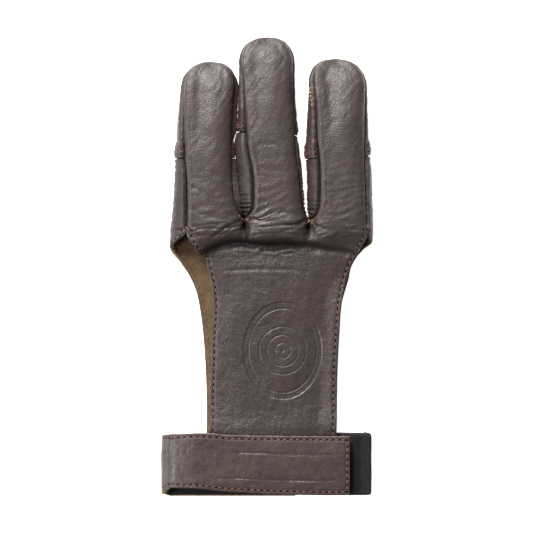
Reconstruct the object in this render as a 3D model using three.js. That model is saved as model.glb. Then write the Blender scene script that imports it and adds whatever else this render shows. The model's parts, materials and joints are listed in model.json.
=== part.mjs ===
// Three-finger archery glove, lying flat on its palm side with the back of the hand up.
// Millimetres. +Y runs to the finger tips, +X to the ring finger, +Z up from the surface.
import * as THREE from "three";

// Hand and tongue
const HAND_WIDTH = 90.9;
const HAND_HEIGHT = 16;
const TONGUE_LENGTH = 117;
const NOTCH_DROP = 4.3;
const CROTCH_FADE = 0.12;
const CROTCH_OPENING = 4;
const CROTCH_SLACK = 1.5;

// Leather and gaps
const BACK_WALL = 1.4;
const PALM_WALL = 1.3;
const CAP_WALL = 1.6;
const GAP = 0.3;

// Fingers
const FINGER_HEIGHT = 16;
const MID_SHARE = 0.4;
const TIP_ROUND = 12.4;
const TIP_POWER = 2.3;
const TOP_POWER = 3.1;
const SOLE_POWER = 3;
const WALL_POWER = 2.3;
const BAND_HEIGHT = 4.8;
const BAND_PROUD = 0.8;
const PRESS_RUN = 3;
const SOLE_FROM = 0.3;
const SOLE_FULL = 0.9;

// Wrist
const WRIST_HEIGHT = 13.8;
const STRAP_WIDTH = 25.8;
const STRAP_WALL = 1.4;
const STRAP_TOP = 96.7;
const STRAP_REAR_END = 10.8;
const STRAP_FRONT_END = 35.1;
const STRAP_FOLD = 49.95;
const LINING_WALL = 0.8;
const LINING_INSET = 0.6;
const ELASTIC_WIDTH = 27.2;
const ELASTIC_WALL = 1.4;
const ELASTIC_FOLD = 44.8;
const ELASTIC_START = 19.8;
const TONGUE_CROWN = 0.8;
const FOLD_STRETCH = 1.1;

// How finely the leather is divided
const BACK_COLUMNS = 8;
const PALM_COLUMNS = 14;
const DOME_ROWS = 5;
const STEP_LENGTH = 9;
const ROOT_STEPS = [2, 4, 7];
const MOST_TRIM = 0.25;
const FOLD_TURNS = 8;
const BAND_STEP = 13.5;
const SHARE_ROUNDS = 3;
const SMALL_SHARE = 1e-3;
const SMALL_TURN = 0.02;

const DEGREE = Math.PI / 180;
const FULL_TURN = 2 * Math.PI;

// Rows of numbers under named columns.
function table(columns, rows) {
  return rows.map((row) => Object.fromEntries(columns.map((name, k) => [name, row[k]])));
}

// Roots of the fingers: place across as a share of the hand's width, place along as a share of
// the notch drop. Left notch, index and middle crotch, middle and ring crotch, right notch.
const ROOTS = table(["across", "along"], [
  [-0.5, -1],
  [-0.134, 0.1],
  [0.183, -0.1],
  [0.5, -1],
]);

// A row for each section of a finger. along: share of its length from the crotch line.
// left, right: edges as shares of its width from its axis. seams: shares of the half width.
// bandLeft, bandRight: distances of the cap's band from the crotch line at the finger's two sides.
const SECTION = ["along", "left", "right", "seamLeft", "seamRight"];
const INDEX = {
  name: "index",
  length: 70.6,
  width: 25.6,
  axis: -0.316,
  bandLeft: 27.4,
  bandRight: 27.6,
  rows: table(SECTION, [
    [0, 0.645, 0.65, 0.55, 1],
    [0.06, 0.63, 0.6, 0.56, 0.92],
    [0.15, 0.61, 0.545, 0.57, 0.89],
    [0.3, 0.575, 0.485, 0.63, 0.93],
    [0.45, 0.555, 0.458, 0.71, 0.96],
    [0.6, 0.535, 0.457, 0.78, 0.97],
    [0.82, 0.478, 0.5, 0.89, 0.98],
    [1, 0.43, 0.55, 1, 1],
  ]),
};
const MIDDLE = {
  name: "middle",
  length: 81.7,
  width: 25,
  axis: -0.02,
  bandLeft: 39.6,
  bandRight: 37.8,
  rows: table(SECTION, [
    [0, 0.412, 0.74, 1, 1],
    [0.05, 0.47, 0.69, 0.8, 0.96],
    [0.12, 0.505, 0.668, 0.59, 0.93],
    [0.25, 0.528, 0.636, 0.58, 0.91],
    [0.38, 0.572, 0.57, 0.63, 0.89],
    [0.5, 0.568, 0.55, 0.71, 0.92],
    [0.65, 0.52, 0.495, 0.87, 0.95],
    [0.85, 0.512, 0.484, 0.95, 0.98],
    [1, 0.5, 0.49, 1, 1],
  ]),
};
const RING = {
  name: "ring",
  length: 72,
  width: 26.5,
  axis: 0.324,
  bandLeft: 27.2,
  bandRight: 28.8,
  rows: table(SECTION, [
    [0, 0.483, 0.602, 1, 0.81],
    [0.05, 0.515, 0.6, 0.83, 0.81],
    [0.15, 0.521, 0.592, 0.64, 0.81],
    [0.38, 0.532, 0.566, 0.62, 0.83],
    [0.5, 0.537, 0.527, 0.68, 0.9],
    [0.7, 0.504, 0.502, 0.77, 0.95],
    [0.85, 0.494, 0.49, 0.9, 0.98],
    [1, 0.5, 0.464, 1, 1],
  ]),
};
const FINGERS = [INDEX, MIDDLE, RING];

// How high the top of a finger stands, as a share of its full height there.
const FINGER_TOPS = table(["along", "top"], [
  [0, 1],
  [0.5, 0.97],
  [0.75, 0.9],
  [0.9, 0.81],
  [1, 0.72],
]);

// The strap's upper edge as a share of the tongue's length: both panels rise to the wrist there.
const STRAP_SHARE = STRAP_TOP / TONGUE_LENGTH;

// Back panel below the crotches. along and bow: shares of the tongue's length. Edges: shares of
// half the hand's width. low and high: heights at the edges and the middle, shares of the hand's
// height. root: how much of the finger roots' form is left. wrist: share of the rise to the wrist.
const BACK_ROWS = table(["along", "bow", "left", "right", "low", "high", "root", "wrist"], [
  [0.053, 0.007, -0.826, 0.946, 0.86, 1.01, 0.5, 0],
  [0.074, 0.019, -0.813, 0.943, 0.8, 0.96, 0.22, 0],
  [0.093, 0.022, -0.784, 0.91, 0.7, 0.8, 0.1, 0],
  [0.111, 0.024, -0.756, 0.881, 0.66, 0.63, 0, 0],
  [0.132, 0.02, -0.712, 0.853, 0.58, 0.6, 0, 0],
  [0.16, 0.014, -0.672, 0.813, 0.54, 0.61, 0, 0],
  [0.2, 0.007, -0.626, 0.769, 0.51, 0.625, 0, 0],
  [0.26, 0, -0.595, 0.723, 0.5, 0.63, 0, 0],
  [0.337, 0, -0.584, 0.685, 0.5, 0.625, 0, 0],
  [0.448, 0, -0.6, 0.666, 0.5, 0.615, 0, 0],
  [0.568, 0, -0.606, 0.65, 0.5, 0.615, 0, 0],
  [STRAP_SHARE - 0.148, 0, -0.615, 0.644, 0.51, 0.625, 0, 0],
  [STRAP_SHARE - 0.071, 0, -0.615, 0.644, 0.54, 0.64, 0, 0.3],
  [STRAP_SHARE - 0.02, 0, -0.615, 0.644, 0.6, 0.68, 0, 0.95],
  [STRAP_SHARE + 0.073, 0, -0.615, 0.644, 0.6, 0.68, 0, 1],
  [1, 0, -0.615, 0.644, 0.6, 0.68, 0, 1],
]);

// Palm panel below the crotches. leftTurn, rightTurn: where its edges stand on the side walls, in
// degrees round the section. Sides and bends: shares of half the hand's width. lift: share of the
// rise over the strap.
const WALLS = ["along", "leftTurn", "left", "leftBend", "rightTurn", "right", "rightBend", "root", "lift"];
const PALM_ROWS = table(WALLS, [
  [0.059, 128, -1.004, 0.308, 380, 1, 0.3, 0.5, 0],
  [0.085, 150, -1.011, 0.308, 358, 1, 0.3, 0.2, 0],
  [0.106, 182, -1.015, 0.308, 315, 1, 0.3, 0.06, 0],
  [0.129, 212, -1.015, 0.308, 296, 1, 0.3, 0, 0],
  [0.153, 234, -1.015, 0.308, 286, 1, 0.3, 0, 0],
  [0.183, 248, -1.015, 0.308, 279, 1, 0.3, 0, 0],
  [0.226, 260, -0.97, 0.25, 276, 0.95, 0.24, 0, 0],
  [0.286, 264, -0.87, 0.17, 276, 0.85, 0.17, 0, 0],
  [0.354, 264, -0.798, 0.12, 276, 0.77, 0.12, 0, 0],
  [0.456, 264, -0.767, 0.12, 276, 0.747, 0.12, 0, 0],
  [0.576, 264, -0.747, 0.12, 276, 0.734, 0.12, 0, 0],
  [STRAP_SHARE - 0.13, 264, -0.736, 0.12, 276, 0.729, 0.12, 0, 0],
  [STRAP_SHARE - 0.046, 264, -0.736, 0.12, 276, 0.729, 0.12, 0, 0],
  [STRAP_SHARE - 0.021, 264, -0.736, 0.12, 276, 0.729, 0.12, 0, 0.6],
  [STRAP_SHARE - 0.002, 264, -0.736, 0.12, 276, 0.729, 0.12, 0, 1],
  [STRAP_SHARE + 0.083, 264, -0.736, 0.12, 276, 0.729, 0.12, 0, 1],
  [1, 264, -0.736, 0.12, 276, 0.729, 0.12, 0, 1],
]);
const PALM_BEND_COLUMNS = 0.63;
const SOLE_SPREAD = 0.7;

// The strap's front run, from its left fold to its cut end. Shifts of its two edges, shares of
// its width.
const STRAP_EDGES = table(["along", "top", "bottom"], [
  [0, 0.012, 0.035],
  [0.12, 0.03, 0.09],
  [0.3, 0.035, 0.06],
  [0.6, 0.005, 0],
  [0.85, -0.01, -0.045],
  [1, -0.02, -0.02],
]);

const halfHand = HAND_WIDTH / 2;
const midHeight = FINGER_HEIGHT * MID_SHARE;
const topHeight = FINGER_HEIGHT - midHeight;
const strapStack = STRAP_WALL + GAP + LINING_WALL + GAP;
const wristTop = WRIST_HEIGHT - strapStack;
const strapBottom = STRAP_TOP + STRAP_WIDTH;

// Smooth curve through one column of a table.
function read(table, at, column) {
  const last = table.length - 1;
  if (at <= table[0].along) return table[0][column];
  if (at >= table[last].along) return table[last][column];
  let i = 0;
  while (table[i + 1].along < at) i += 1;
  const slope = (k) => {
    const before = table[Math.max(k - 1, 0)];
    const after = table[Math.min(k + 1, last)];
    return (after[column] - before[column]) / (after.along - before.along);
  };
  const run = table[i + 1].along - table[i].along;
  const u = (at - table[i].along) / run;
  const start = (1 + 2 * u) * (1 - u) ** 2 * table[i][column] + u * (1 - u) ** 2 * run * slope(i);
  return start + u * u * (3 - 2 * u) * table[i + 1][column] + u * u * (u - 1) * run * slope(i + 1);
}

function mix(a, b, share) {
  return a + (b - a) * share;
}

function ease(from, to, at) {
  const u = Math.min(Math.max((at - from) / (to - from), 0), 1);
  return u * u * (3 - 2 * u);
}

function signedPower(value, power) {
  return Math.sign(value) * Math.abs(value) ** power;
}

// How far across a finger a turn round its section stands: from -1, its left side, to 1.
function acrossAt(turn) {
  return signedPower(Math.cos(turn), 2 / (Math.sin(turn) > 0 ? TOP_POWER : SOLE_POWER));
}

function rootAt(number, across) {
  return mix(ROOTS[number].along, ROOTS[number + 1].along, (across + 1) / 2) * NOTCH_DROP;
}

// Point on the full outer skin of a finger: share of its length, and turn round its section from
// the right side over the top.
function skin(number, share, turn) {
  const finger = FINGERS[number];
  const rootLeft = ROOTS[number];
  const rootRight = ROOTS[number + 1];
  const fade = Math.max(0, 1 - share / CROTCH_FADE) ** 2;
  const axis = finger.axis * HAND_WIDTH;
  const leftMiss = rootLeft.across * HAND_WIDTH - (axis - finger.width * finger.rows[0].left);
  const rightMiss = rootRight.across * HAND_WIDTH - (axis + finger.width * finger.rows[0].right);
  const left = axis - finger.width * read(finger.rows, share, "left") + leftMiss * fade;
  const right = axis + finger.width * read(finger.rows, share, "right") + rightMiss * fade;
  const dome = Math.max(0, (share * finger.length - (finger.length - TIP_ROUND)) / TIP_ROUND);
  const shrink = Math.max(0, 1 - dome ** TIP_POWER) ** (1 / TIP_POWER);
  const across = acrossAt(turn);
  const sine = Math.sin(turn);
  const up = signedPower(sine, 2 / (sine > 0 ? TOP_POWER : SOLE_POWER));
  const height = sine > 0 ? topHeight * read(FINGER_TOPS, share, "top") : midHeight;
  return new THREE.Vector3(
    (left + right) / 2 + ((right - left) / 2) * shrink * across,
    mix(rootAt(number, across), finger.length, share),
    midHeight + GAP / 2 + height * shrink * up,
  );
}

// The middle of a band as a share of its finger's length.
function bandShare(finger) {
  return (finger.bandLeft + finger.bandRight) / 2 / finger.length;
}

// Moves a share of a finger's length along with the band, whose two sides stand at their own
// distances from the crotch line.
function levelled(number, share, turn) {
  const finger = FINGERS[number];
  const across = acrossAt(turn);
  const root = rootAt(number, across);
  const band = mix(finger.bandLeft, finger.bandRight, (across + 1) / 2);
  const there = (band - root) / (finger.length - root);
  const usual = bandShare(finger);
  if (share <= usual) return share + (there - usual) * ease(CROTCH_FADE, usual, share);
  return mix(there, 1, (share - usual) / (1 - usual));
}

function skinNormal(number, share, turn) {
  if (share >= 1) return new THREE.Vector3(0, 1, 0);
  const before = skin(number, share - SMALL_SHARE, turn);
  const after = skin(number, Math.min(share + SMALL_SHARE, 1 - SMALL_SHARE / 2), turn);
  const round = skin(number, share, turn + SMALL_SHARE).sub(skin(number, share, turn - SMALL_SHARE));
  return after.sub(before).cross(round).normalize();
}

const flush = () => 0;

function seamTurns(number, share) {
  const finger = FINGERS[number];
  const left = Math.min(read(finger.rows, share, "seamLeft"), 1);
  const right = Math.min(read(finger.rows, share, "seamRight"), 1);
  return {
    left: Math.PI - Math.acos(left ** (TOP_POWER / 2)),
    right: Math.acos(right ** (TOP_POWER / 2)),
  };
}

// Half the seam's gap, as a turn round the section. It opens towards the crotches, where the
// seam climbs steeply.
function seamTrim(number, share, turn) {
  const further = skin(number, share, turn + SMALL_TURN);
  const run = further.distanceTo(skin(number, share, turn - SMALL_TURN));
  const opened = 1 + CROTCH_OPENING * (1 - ease(0, CROTCH_FADE, share));
  return Math.min(((GAP / 2) * opened * (2 * SMALL_TURN)) / Math.max(run, SMALL_TURN), MOST_TRIM);
}

// A sheet of leather: points with outward directions, and the faces between them. It is made solid
// by a second layer, one wall further in, and a rim round every open edge.
class Sheet {
  constructor() {
    this.points = [];
    this.directions = [];
    this.faces = [];
  }

  add(point, direction = null) {
    this.points.push(point);
    this.directions.push(direction);
    return this.points.length - 1;
  }

  fill(lower, upper, turned = false) {
    for (let j = 0; j < lower.length - 1; j += 1) {
      const ring = [lower[j], lower[j + 1], upper[j + 1], upper[j]];
      const corners = ring.filter((corner, k) => corner !== ring[(k + 1) % ring.length]);
      this.faces.push(turned ? corners.reverse() : corners);
    }
  }

  outward() {
    const sums = this.points.map(() => new THREE.Vector3());
    for (const face of this.faces) {
      const [a, b, c] = face.map((corner) => this.points[corner]);
      const d = this.points[face[face.length - 1]];
      const across = c.clone().sub(a);
      const normal = face.length === 4 ? across.cross(d.clone().sub(b)) : b.clone().sub(a).cross(across);
      face.forEach((corner) => sums[corner].add(normal));
    }
    return sums.map((sum, k) => this.directions[k] ?? sum.normalize());
  }

  solid(wall) {
    const count = this.points.length;
    const outward = this.outward();
    const inner = this.points.map((point, k) => point.clone().addScaledVector(outward[k], -wall));
    const all = [...this.points, ...inner];
    const index = [];
    const edges = new Map();
    for (const face of this.faces) {
      for (let k = 1; k < face.length - 1; k += 1) {
        index.push(face[0], face[k], face[k + 1]);
        index.push(face[0] + count, face[k + 1] + count, face[k] + count);
      }
      face.forEach((from, k) => {
        const to = face[(k + 1) % face.length];
        const back = `${to} ${from}`;
        if (edges.has(back)) edges.delete(back);
        else edges.set(`${from} ${to}`, [from, to]);
      });
    }
    for (const [from, to] of edges.values()) {
      index.push(to, from, from + count, to, from + count, to + count);
    }
    const geometry = new THREE.BufferGeometry().setFromPoints(all);
    geometry.setIndex(index);
    geometry.computeVertexNormals();
    return geometry;
  }
}

function evenSteps(from, to, step) {
  const count = Math.max(1, Math.ceil((to - from) / step));
  return Array.from({ length: count + 1 }, (_, k) => mix(from, to, k / count));
}

// Shares of a finger's length at which the rows of its rounded tip stand.
function domeShares(finger) {
  return Array.from({ length: DOME_ROWS }, (_, k) => {
    const reach = Math.sin(((k + 1) / DOME_ROWS) * (Math.PI / 2));
    return k + 1 < DOME_ROWS ? 1 - (TIP_ROUND * (1 - reach)) / finger.length : 1;
  });
}

// How far a cap's band stands proud of the skin: not at all where it rests on the surface.
function bandProud(normal) {
  return BAND_PROUD * (1 - ease(SOLE_FROM, SOLE_FULL, -normal.z));
}

// Distances from the crotch line at which the rows of a finger's straight part stand, closer
// together next to the crotches.
function straightReaches(end) {
  return [...ROOT_STEPS, ...evenSteps(ROOT_STEPS[ROOT_STEPS.length - 1], end, STEP_LENGTH).slice(1)];
}

// One row of leather round a finger. It is lowered or raised a little so that the upper and lower
// pieces stay a gap apart at the tip, and stands proud of the skin, or is pressed in. shareAt
// moves the row's points along the finger.
function fingerRow(sheet, number, share, turnsOf, columns, shift, proudOf, shareAt = (_, at) => at) {
  if (share >= 1) {
    const tip = skin(number, 1, 0).add(new THREE.Vector3(0, 0, shift));
    return Array(columns + 1).fill(sheet.add(tip, new THREE.Vector3(0, 1, 0)));
  }
  return Array.from({ length: columns + 1 }, (_, j) => {
    let at = share;
    let turn = 0;
    for (let round = 0; round < SHARE_ROUNDS; round += 1) {
      const turns = turnsOf(number, at);
      turn = mix(turns.from, turns.to, j / columns);
      if (round < SHARE_ROUNDS - 1) at = shareAt(number, share, turn);
    }
    const normal = skinNormal(number, at, turn);
    const point = skin(number, at, turn).addScaledVector(normal, proudOf(normal));
    point.z += shift;
    return sheet.add(point, share > 0 ? normal : null);
  });
}

// The upper piece runs from the left seam over the top to the right seam.
function backTurns(number, share) {
  const seams = seamTurns(number, share);
  return {
    from: seams.left - seamTrim(number, share, seams.left),
    to: seams.right + seamTrim(number, share, seams.right),
  };
}

// The lower pieces run from the left seam under the finger to the right seam.
function palmTurns(number, share) {
  const seams = seamTurns(number, share);
  return {
    from: seams.left + seamTrim(number, share, seams.left),
    to: FULL_TURN + seams.right - seamTrim(number, share, seams.right),
  };
}

// The roots of the three fingers as one row, joined at the crotches.
function rootRow(sheet, turnsOf, columns, shift) {
  const rows = FINGERS.map((_, number) => {
    const turns = turnsOf(number, 0);
    if (number > 0) turns.from = Math.PI;
    if (number < FINGERS.length - 1) turns.to = turns.to > Math.PI ? FULL_TURN : 0;
    return fingerRow(sheet, number, 0, () => turns, columns, shift, flush);
  });
  const ends = [
    { number: 0, corner: rows[0][0], turn: turnsOf(0, 0).from },
    { number: 2, corner: rows[2][columns], turn: turnsOf(2, 0).to },
  ];
  for (const end of ends) sheet.directions[end.corner] = skinNormal(end.number, 0, end.turn);
  for (let number = 1; number < rows.length; number += 1) {
    const crotch = rows[number - 1][columns];
    sheet.directions[crotch] = new THREE.Vector3(0, 1, 0);
    sheet.points[crotch].z += Math.sign(shift) * CROTCH_SLACK;
    rows[number][0] = crotch;
  }
  return rows;
}

function joined(rows) {
  return [...rows[0], ...rows[1].slice(1), ...rows[2].slice(1)];
}

function backPanel() {
  const sheet = new Sheet();
  const shift = GAP / 2;
  const roots = rootRow(sheet, backTurns, BACK_COLUMNS, shift);
  FINGERS.forEach((finger, number) => {
    const straight = straightReaches(finger.length - TIP_ROUND);
    const shares = [...straight.map((reach) => reach / finger.length), ...domeShares(finger)];
    let lower = roots[number];
    for (const share of shares) {
      const upper = fingerRow(sheet, number, share, backTurns, BACK_COLUMNS, shift, flush);
      sheet.fill(lower, upper);
      lower = upper;
    }
  });
  const top = joined(roots);
  const crotchHeights = top.map((corner) => sheet.points[corner].clone());
  let upper = top;
  for (const row of BACK_ROWS) {
    const lower = top.map((_, j) => {
      const share = j / (top.length - 1);
      const middle = 1 - Math.abs(2 * share - 1) ** WALL_POWER;
      const low = mix(row.low * HAND_HEIGHT, wristTop - TONGUE_CROWN, row.wrist);
      const high = mix(row.high * HAND_HEIGHT, wristTop, row.wrist);
      const flat = new THREE.Vector3(
        mix(row.left, row.right, share) * halfHand,
        (row.bow * middle - row.along) * TONGUE_LENGTH,
        mix(low, high, middle),
      );
      const root = crotchHeights[j].clone().setY(flat.y);
      return sheet.add(flat.lerp(root, row.root));
    });
    sheet.fill(lower, upper);
    upper = lower;
  }
  return sheet.solid(BACK_WALL);
}

// A point of the palm panel's hand part: a side wall, the flat sole, and the other wall.
function palmPoint(row, number, share) {
  const leftBend = row.leftBend * halfHand;
  const rightBend = row.rightBend * halfHand;
  const soleLeft = row.left * halfHand + leftBend;
  const soleRight = row.right * halfHand - rightBend;
  const spread = (root) => mix(soleLeft, soleRight, root.across / SOLE_SPREAD + 0.5);
  const point = new THREE.Vector3(0, -row.along * TONGUE_LENGTH, 0);
  const wall = (turn, centre, bend) => {
    const sine = Math.sin(turn);
    const power = 2 / (sine > 0 ? WALL_POWER : SOLE_POWER);
    point.x = centre + bend * signedPower(Math.cos(turn), power);
    point.z = midHeight + (sine > 0 ? topHeight : midHeight) * signedPower(sine, power);
  };
  const bottom = 1.5 * Math.PI;
  if (number === 0) {
    const part = share / PALM_BEND_COLUMNS;
    if (part < 1) wall(mix(row.leftTurn * DEGREE, bottom, part), soleLeft, leftBend);
    else point.x = mix(soleLeft, spread(ROOTS[1]), (share - PALM_BEND_COLUMNS) / (1 - PALM_BEND_COLUMNS));
  } else if (number === 1) {
    point.x = mix(spread(ROOTS[1]), spread(ROOTS[2]), share);
  } else {
    const part = (share - (1 - PALM_BEND_COLUMNS)) / PALM_BEND_COLUMNS;
    if (part > 0) wall(mix(bottom, row.rightTurn * DEGREE, part), soleRight, rightBend);
    else point.x = mix(soleRight, spread(ROOTS[2]), -part * (PALM_BEND_COLUMNS / (1 - PALM_BEND_COLUMNS)));
  }
  point.z += row.lift * strapStack;
  return point;
}

function palmPanel() {
  const sheet = new Sheet();
  const shift = -GAP / 2;
  const roots = rootRow(sheet, palmTurns, PALM_COLUMNS, shift);
  FINGERS.forEach((finger, number) => {
    const band = bandShare(finger) * finger.length;
    const reaches = straightReaches(band - PRESS_RUN);
    reaches.push(band - GAP, band + BAND_HEIGHT - GAP);
    let lower = roots[number];
    for (const reach of reaches) {
      const share = reach / finger.length;
      const pressed = ease(band - PRESS_RUN, band - GAP, reach);
      const proudOf = (normal) => pressed * (bandProud(normal) - CAP_WALL - GAP);
      const upper = fingerRow(sheet, number, share, palmTurns, PALM_COLUMNS, shift, proudOf, levelled);
      sheet.fill(lower, upper, true);
      lower = upper;
    }
  });
  const top = joined(roots);
  const rootPoints = top.map((corner) => sheet.points[corner].clone());
  let upper = top;
  for (const row of PALM_ROWS) {
    const lower = top.map((_, j) => {
      const number = Math.min(Math.floor(j / PALM_COLUMNS), FINGERS.length - 1);
      const point = palmPoint(row, number, j / PALM_COLUMNS - number);
      const root = rootPoints[j].clone().setY(point.y);
      return sheet.add(point.lerp(root, row.root));
    });
    sheet.fill(lower, upper, true);
    upper = lower;
  }
  return sheet.solid(PALM_WALL);
}

// The reinforced tip under a finger, with its band lapped over the palm panel.
function tipCap(number) {
  const sheet = new Sheet();
  const finger = FINGERS[number];
  const band = bandShare(finger) * finger.length;
  const bandEnd = band + BAND_HEIGHT;
  const level = evenSteps(bandEnd + PRESS_RUN, finger.length - TIP_ROUND, STEP_LENGTH);
  const reaches = [band, bandEnd, ...level];
  const shares = [...reaches.map((reach) => reach / finger.length), ...domeShares(finger)];
  let lower = null;
  for (const share of shares) {
    const raised = 1 - ease(bandEnd, bandEnd + PRESS_RUN, share * finger.length);
    const proudOf = (normal) => raised * bandProud(normal);
    const upper = fingerRow(sheet, number, share, palmTurns, PALM_COLUMNS, -GAP / 2, proudOf, levelled);
    if (lower) sheet.fill(lower, upper, true);
    lower = upper;
  }
  return sheet.solid(CAP_WALL);
}

// A band that runs flat along the surface, turns up round a fold and comes back on top. The path
// gives points of its outer side and the directions out of it.
function loopPath(rearEnd, fold, frontEnd, height, side) {
  const round = height / 2;
  const bend = round * FOLD_STRETCH;
  const path = [];
  for (const x of evenSteps(rearEnd, side * (fold - bend), side * BAND_STEP)) {
    path.push({ x, z: 0, front: 0, direction: new THREE.Vector3(0, 0, -1) });
  }
  for (let k = 1; k < FOLD_TURNS; k += 1) {
    const angle = (k / FOLD_TURNS) * Math.PI;
    const direction = new THREE.Vector3((side * Math.sin(angle)) / bend, 0, -Math.cos(angle) / round);
    path.push({
      x: side * (fold - bend + bend * Math.sin(angle)),
      z: round * (1 - Math.cos(angle)),
      front: 0,
      direction: direction.normalize(),
    });
  }
  for (const x of evenSteps(side * (fold - bend), frontEnd, -side * BAND_STEP)) {
    const front = (x - side * (fold - bend)) / (frontEnd - side * (fold - bend));
    path.push({ x, z: height, front, direction: new THREE.Vector3(0, 0, 1) });
  }
  return path;
}

// Places across a band at which its points stand.
const BAND_SHARES = [0, 0.25, 0.5, 0.75, 1];

function bandSheet(path, edgesOf, inset, turned) {
  const sheet = new Sheet();
  let lower = null;
  for (const station of path) {
    const edges = edgesOf(station);
    const upper = BAND_SHARES.map((share) => {
      const point = new THREE.Vector3(station.x, mix(edges.bottom, edges.top, share), station.z);
      return sheet.add(point.addScaledVector(station.direction, -inset), station.direction);
    });
    if (lower) sheet.fill(lower, upper, turned);
    lower = upper;
  }
  return sheet;
}

function strapEdges(station, trim) {
  return {
    top: -STRAP_TOP + read(STRAP_EDGES, station.front, "top") * STRAP_WIDTH - trim,
    bottom: -strapBottom + read(STRAP_EDGES, station.front, "bottom") * STRAP_WIDTH + trim,
  };
}

function strapPath(trim) {
  return loopPath(STRAP_REAR_END - trim, STRAP_FOLD, STRAP_FRONT_END - trim, WRIST_HEIGHT, -1);
}

function wristStrap() {
  return bandSheet(strapPath(0), (station) => strapEdges(station, 0), 0, true).solid(STRAP_WALL);
}

function strapLining() {
  const edgesOf = (station) => strapEdges(station, LINING_INSET);
  return bandSheet(strapPath(LINING_INSET), edgesOf, STRAP_WALL + GAP, true).solid(LINING_WALL);
}

function wristElastic() {
  const height = wristTop - TONGUE_CROWN - BACK_WALL - GAP;
  const path = loopPath(STRAP_REAR_END + GAP, ELASTIC_FOLD, ELASTIC_START, height, 1);
  const top = -STRAP_TOP + (ELASTIC_WIDTH - STRAP_WIDTH) / 2;
  const edges = { top, bottom: top - ELASTIC_WIDTH };
  return bandSheet(path, () => edges, 0, false).solid(ELASTIC_WALL);
}

const backLeather = new THREE.MeshStandardMaterial({ color: 0x4a3c39, roughness: 0.55, metalness: 0 });
const palmLeather = new THREE.MeshStandardMaterial({ color: 0x46383a, roughness: 0.6, metalness: 0 });
const capLeather = new THREE.MeshStandardMaterial({ color: 0x42353a, roughness: 0.6, metalness: 0 });
const strapLeather = new THREE.MeshStandardMaterial({ color: 0x4c4140, roughness: 0.55, metalness: 0 });
const hookFabric = new THREE.MeshStandardMaterial({ color: 0x141414, roughness: 0.95, metalness: 0 });
const elasticFabric = new THREE.MeshStandardMaterial({ color: 0x1b1b1d, roughness: 0.9, metalness: 0 });

const glove = new THREE.Group();

function place(name, geometry, material) {
  const mesh = new THREE.Mesh(geometry, material);
  mesh.name = name;
  glove.add(mesh);
}

place("back_panel", backPanel(), backLeather);
place("palm_panel", palmPanel(), palmLeather);
FINGERS.forEach((finger, number) => place(`${finger.name}_tip`, tipCap(number), capLeather));
place("wrist_strap", wristStrap(), strapLeather);
place("strap_lining", strapLining(), hookFabric);
place("wrist_elastic", wristElastic(), elasticFabric);

const box = new THREE.Box3().setFromObject(glove);
const middle = box.getCenter(new THREE.Vector3());
glove.position.set(-middle.x, -middle.y, -box.min.z);

const group = new THREE.Group();
group.add(glove);

export default group;
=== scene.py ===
import json
import math

import bmesh
import bpy
import numpy as np
from bpy.props import FloatProperty, FloatVectorProperty, PointerProperty
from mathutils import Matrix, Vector, noise
from mathutils.bvhtree import BVHTree

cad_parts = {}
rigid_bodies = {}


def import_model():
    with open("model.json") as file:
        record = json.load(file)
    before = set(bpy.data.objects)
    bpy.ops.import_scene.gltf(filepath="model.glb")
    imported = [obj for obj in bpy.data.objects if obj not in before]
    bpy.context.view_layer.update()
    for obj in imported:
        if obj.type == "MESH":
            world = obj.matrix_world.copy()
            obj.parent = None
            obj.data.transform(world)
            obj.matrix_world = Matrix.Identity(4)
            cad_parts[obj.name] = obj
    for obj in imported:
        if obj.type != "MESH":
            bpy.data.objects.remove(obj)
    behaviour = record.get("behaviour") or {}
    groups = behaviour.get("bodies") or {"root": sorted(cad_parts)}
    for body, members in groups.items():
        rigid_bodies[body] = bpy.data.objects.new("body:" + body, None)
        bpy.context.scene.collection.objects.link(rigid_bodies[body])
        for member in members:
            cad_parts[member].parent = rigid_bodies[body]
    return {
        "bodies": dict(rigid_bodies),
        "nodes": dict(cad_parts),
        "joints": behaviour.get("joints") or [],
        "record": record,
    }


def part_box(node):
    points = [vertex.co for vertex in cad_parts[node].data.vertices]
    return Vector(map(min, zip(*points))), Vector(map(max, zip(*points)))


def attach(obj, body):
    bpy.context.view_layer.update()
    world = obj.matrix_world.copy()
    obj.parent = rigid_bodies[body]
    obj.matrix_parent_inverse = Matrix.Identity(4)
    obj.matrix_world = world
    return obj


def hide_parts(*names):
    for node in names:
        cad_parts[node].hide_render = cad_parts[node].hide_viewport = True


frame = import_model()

bl_info = {
    "name": "Archery glove",
    "version": (1, 0, 0),
    "blender": (4, 5, 0),
    "location": "3D View > Sidebar > Glove",
    "description": "Three-finger leather archery glove with wrist strap, stitching and a studio stage",
    "category": "Add Mesh",
}

# The glove's own sizes, in millimetres, as its solids have them.
MM = 0.001
HAND_WIDTH = 90.9
HAND_HEIGHT = 16
TONGUE_LENGTH = 117
NOTCH_DROP = 4.3
CROTCH_FADE = 0.12
FINGER_HEIGHT = 16
MID_HEIGHT = FINGER_HEIGHT * 0.4
TOP_HEIGHT = FINGER_HEIGHT - MID_HEIGHT
TIP_ROUND = 12.4
TIP_POWER = 2.3
TOP_POWER = 3.1
SOLE_POWER = 3
WALL_POWER = 2.3
ROOT_RUN = 0.08
BAND_HEIGHT = 4.8
BAND_PROUD = 0.8
PRESS_RUN = 3
GAP = 0.3
BACK_WALL = 1.4
PALM_WALL = 1.3
CAP_WALL = 1.6
WRIST_HEIGHT = 13.8
STRAP_WIDTH = 25.8
STRAP_WALL = 1.4
STRAP_TOP = 96.7
STRAP_REAR_END = 10.8
STRAP_FRONT_END = 35.1
STRAP_FOLD = 49.95
LINING_WALL = 0.8
LINING_SLACK = 0.3
LINING_INSET = 0.6
ELASTIC_WIDTH = 27.2
ELASTIC_WALL = 1.4
ELASTIC_FOLD = 44.8
ELASTIC_START = 19.8
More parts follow.
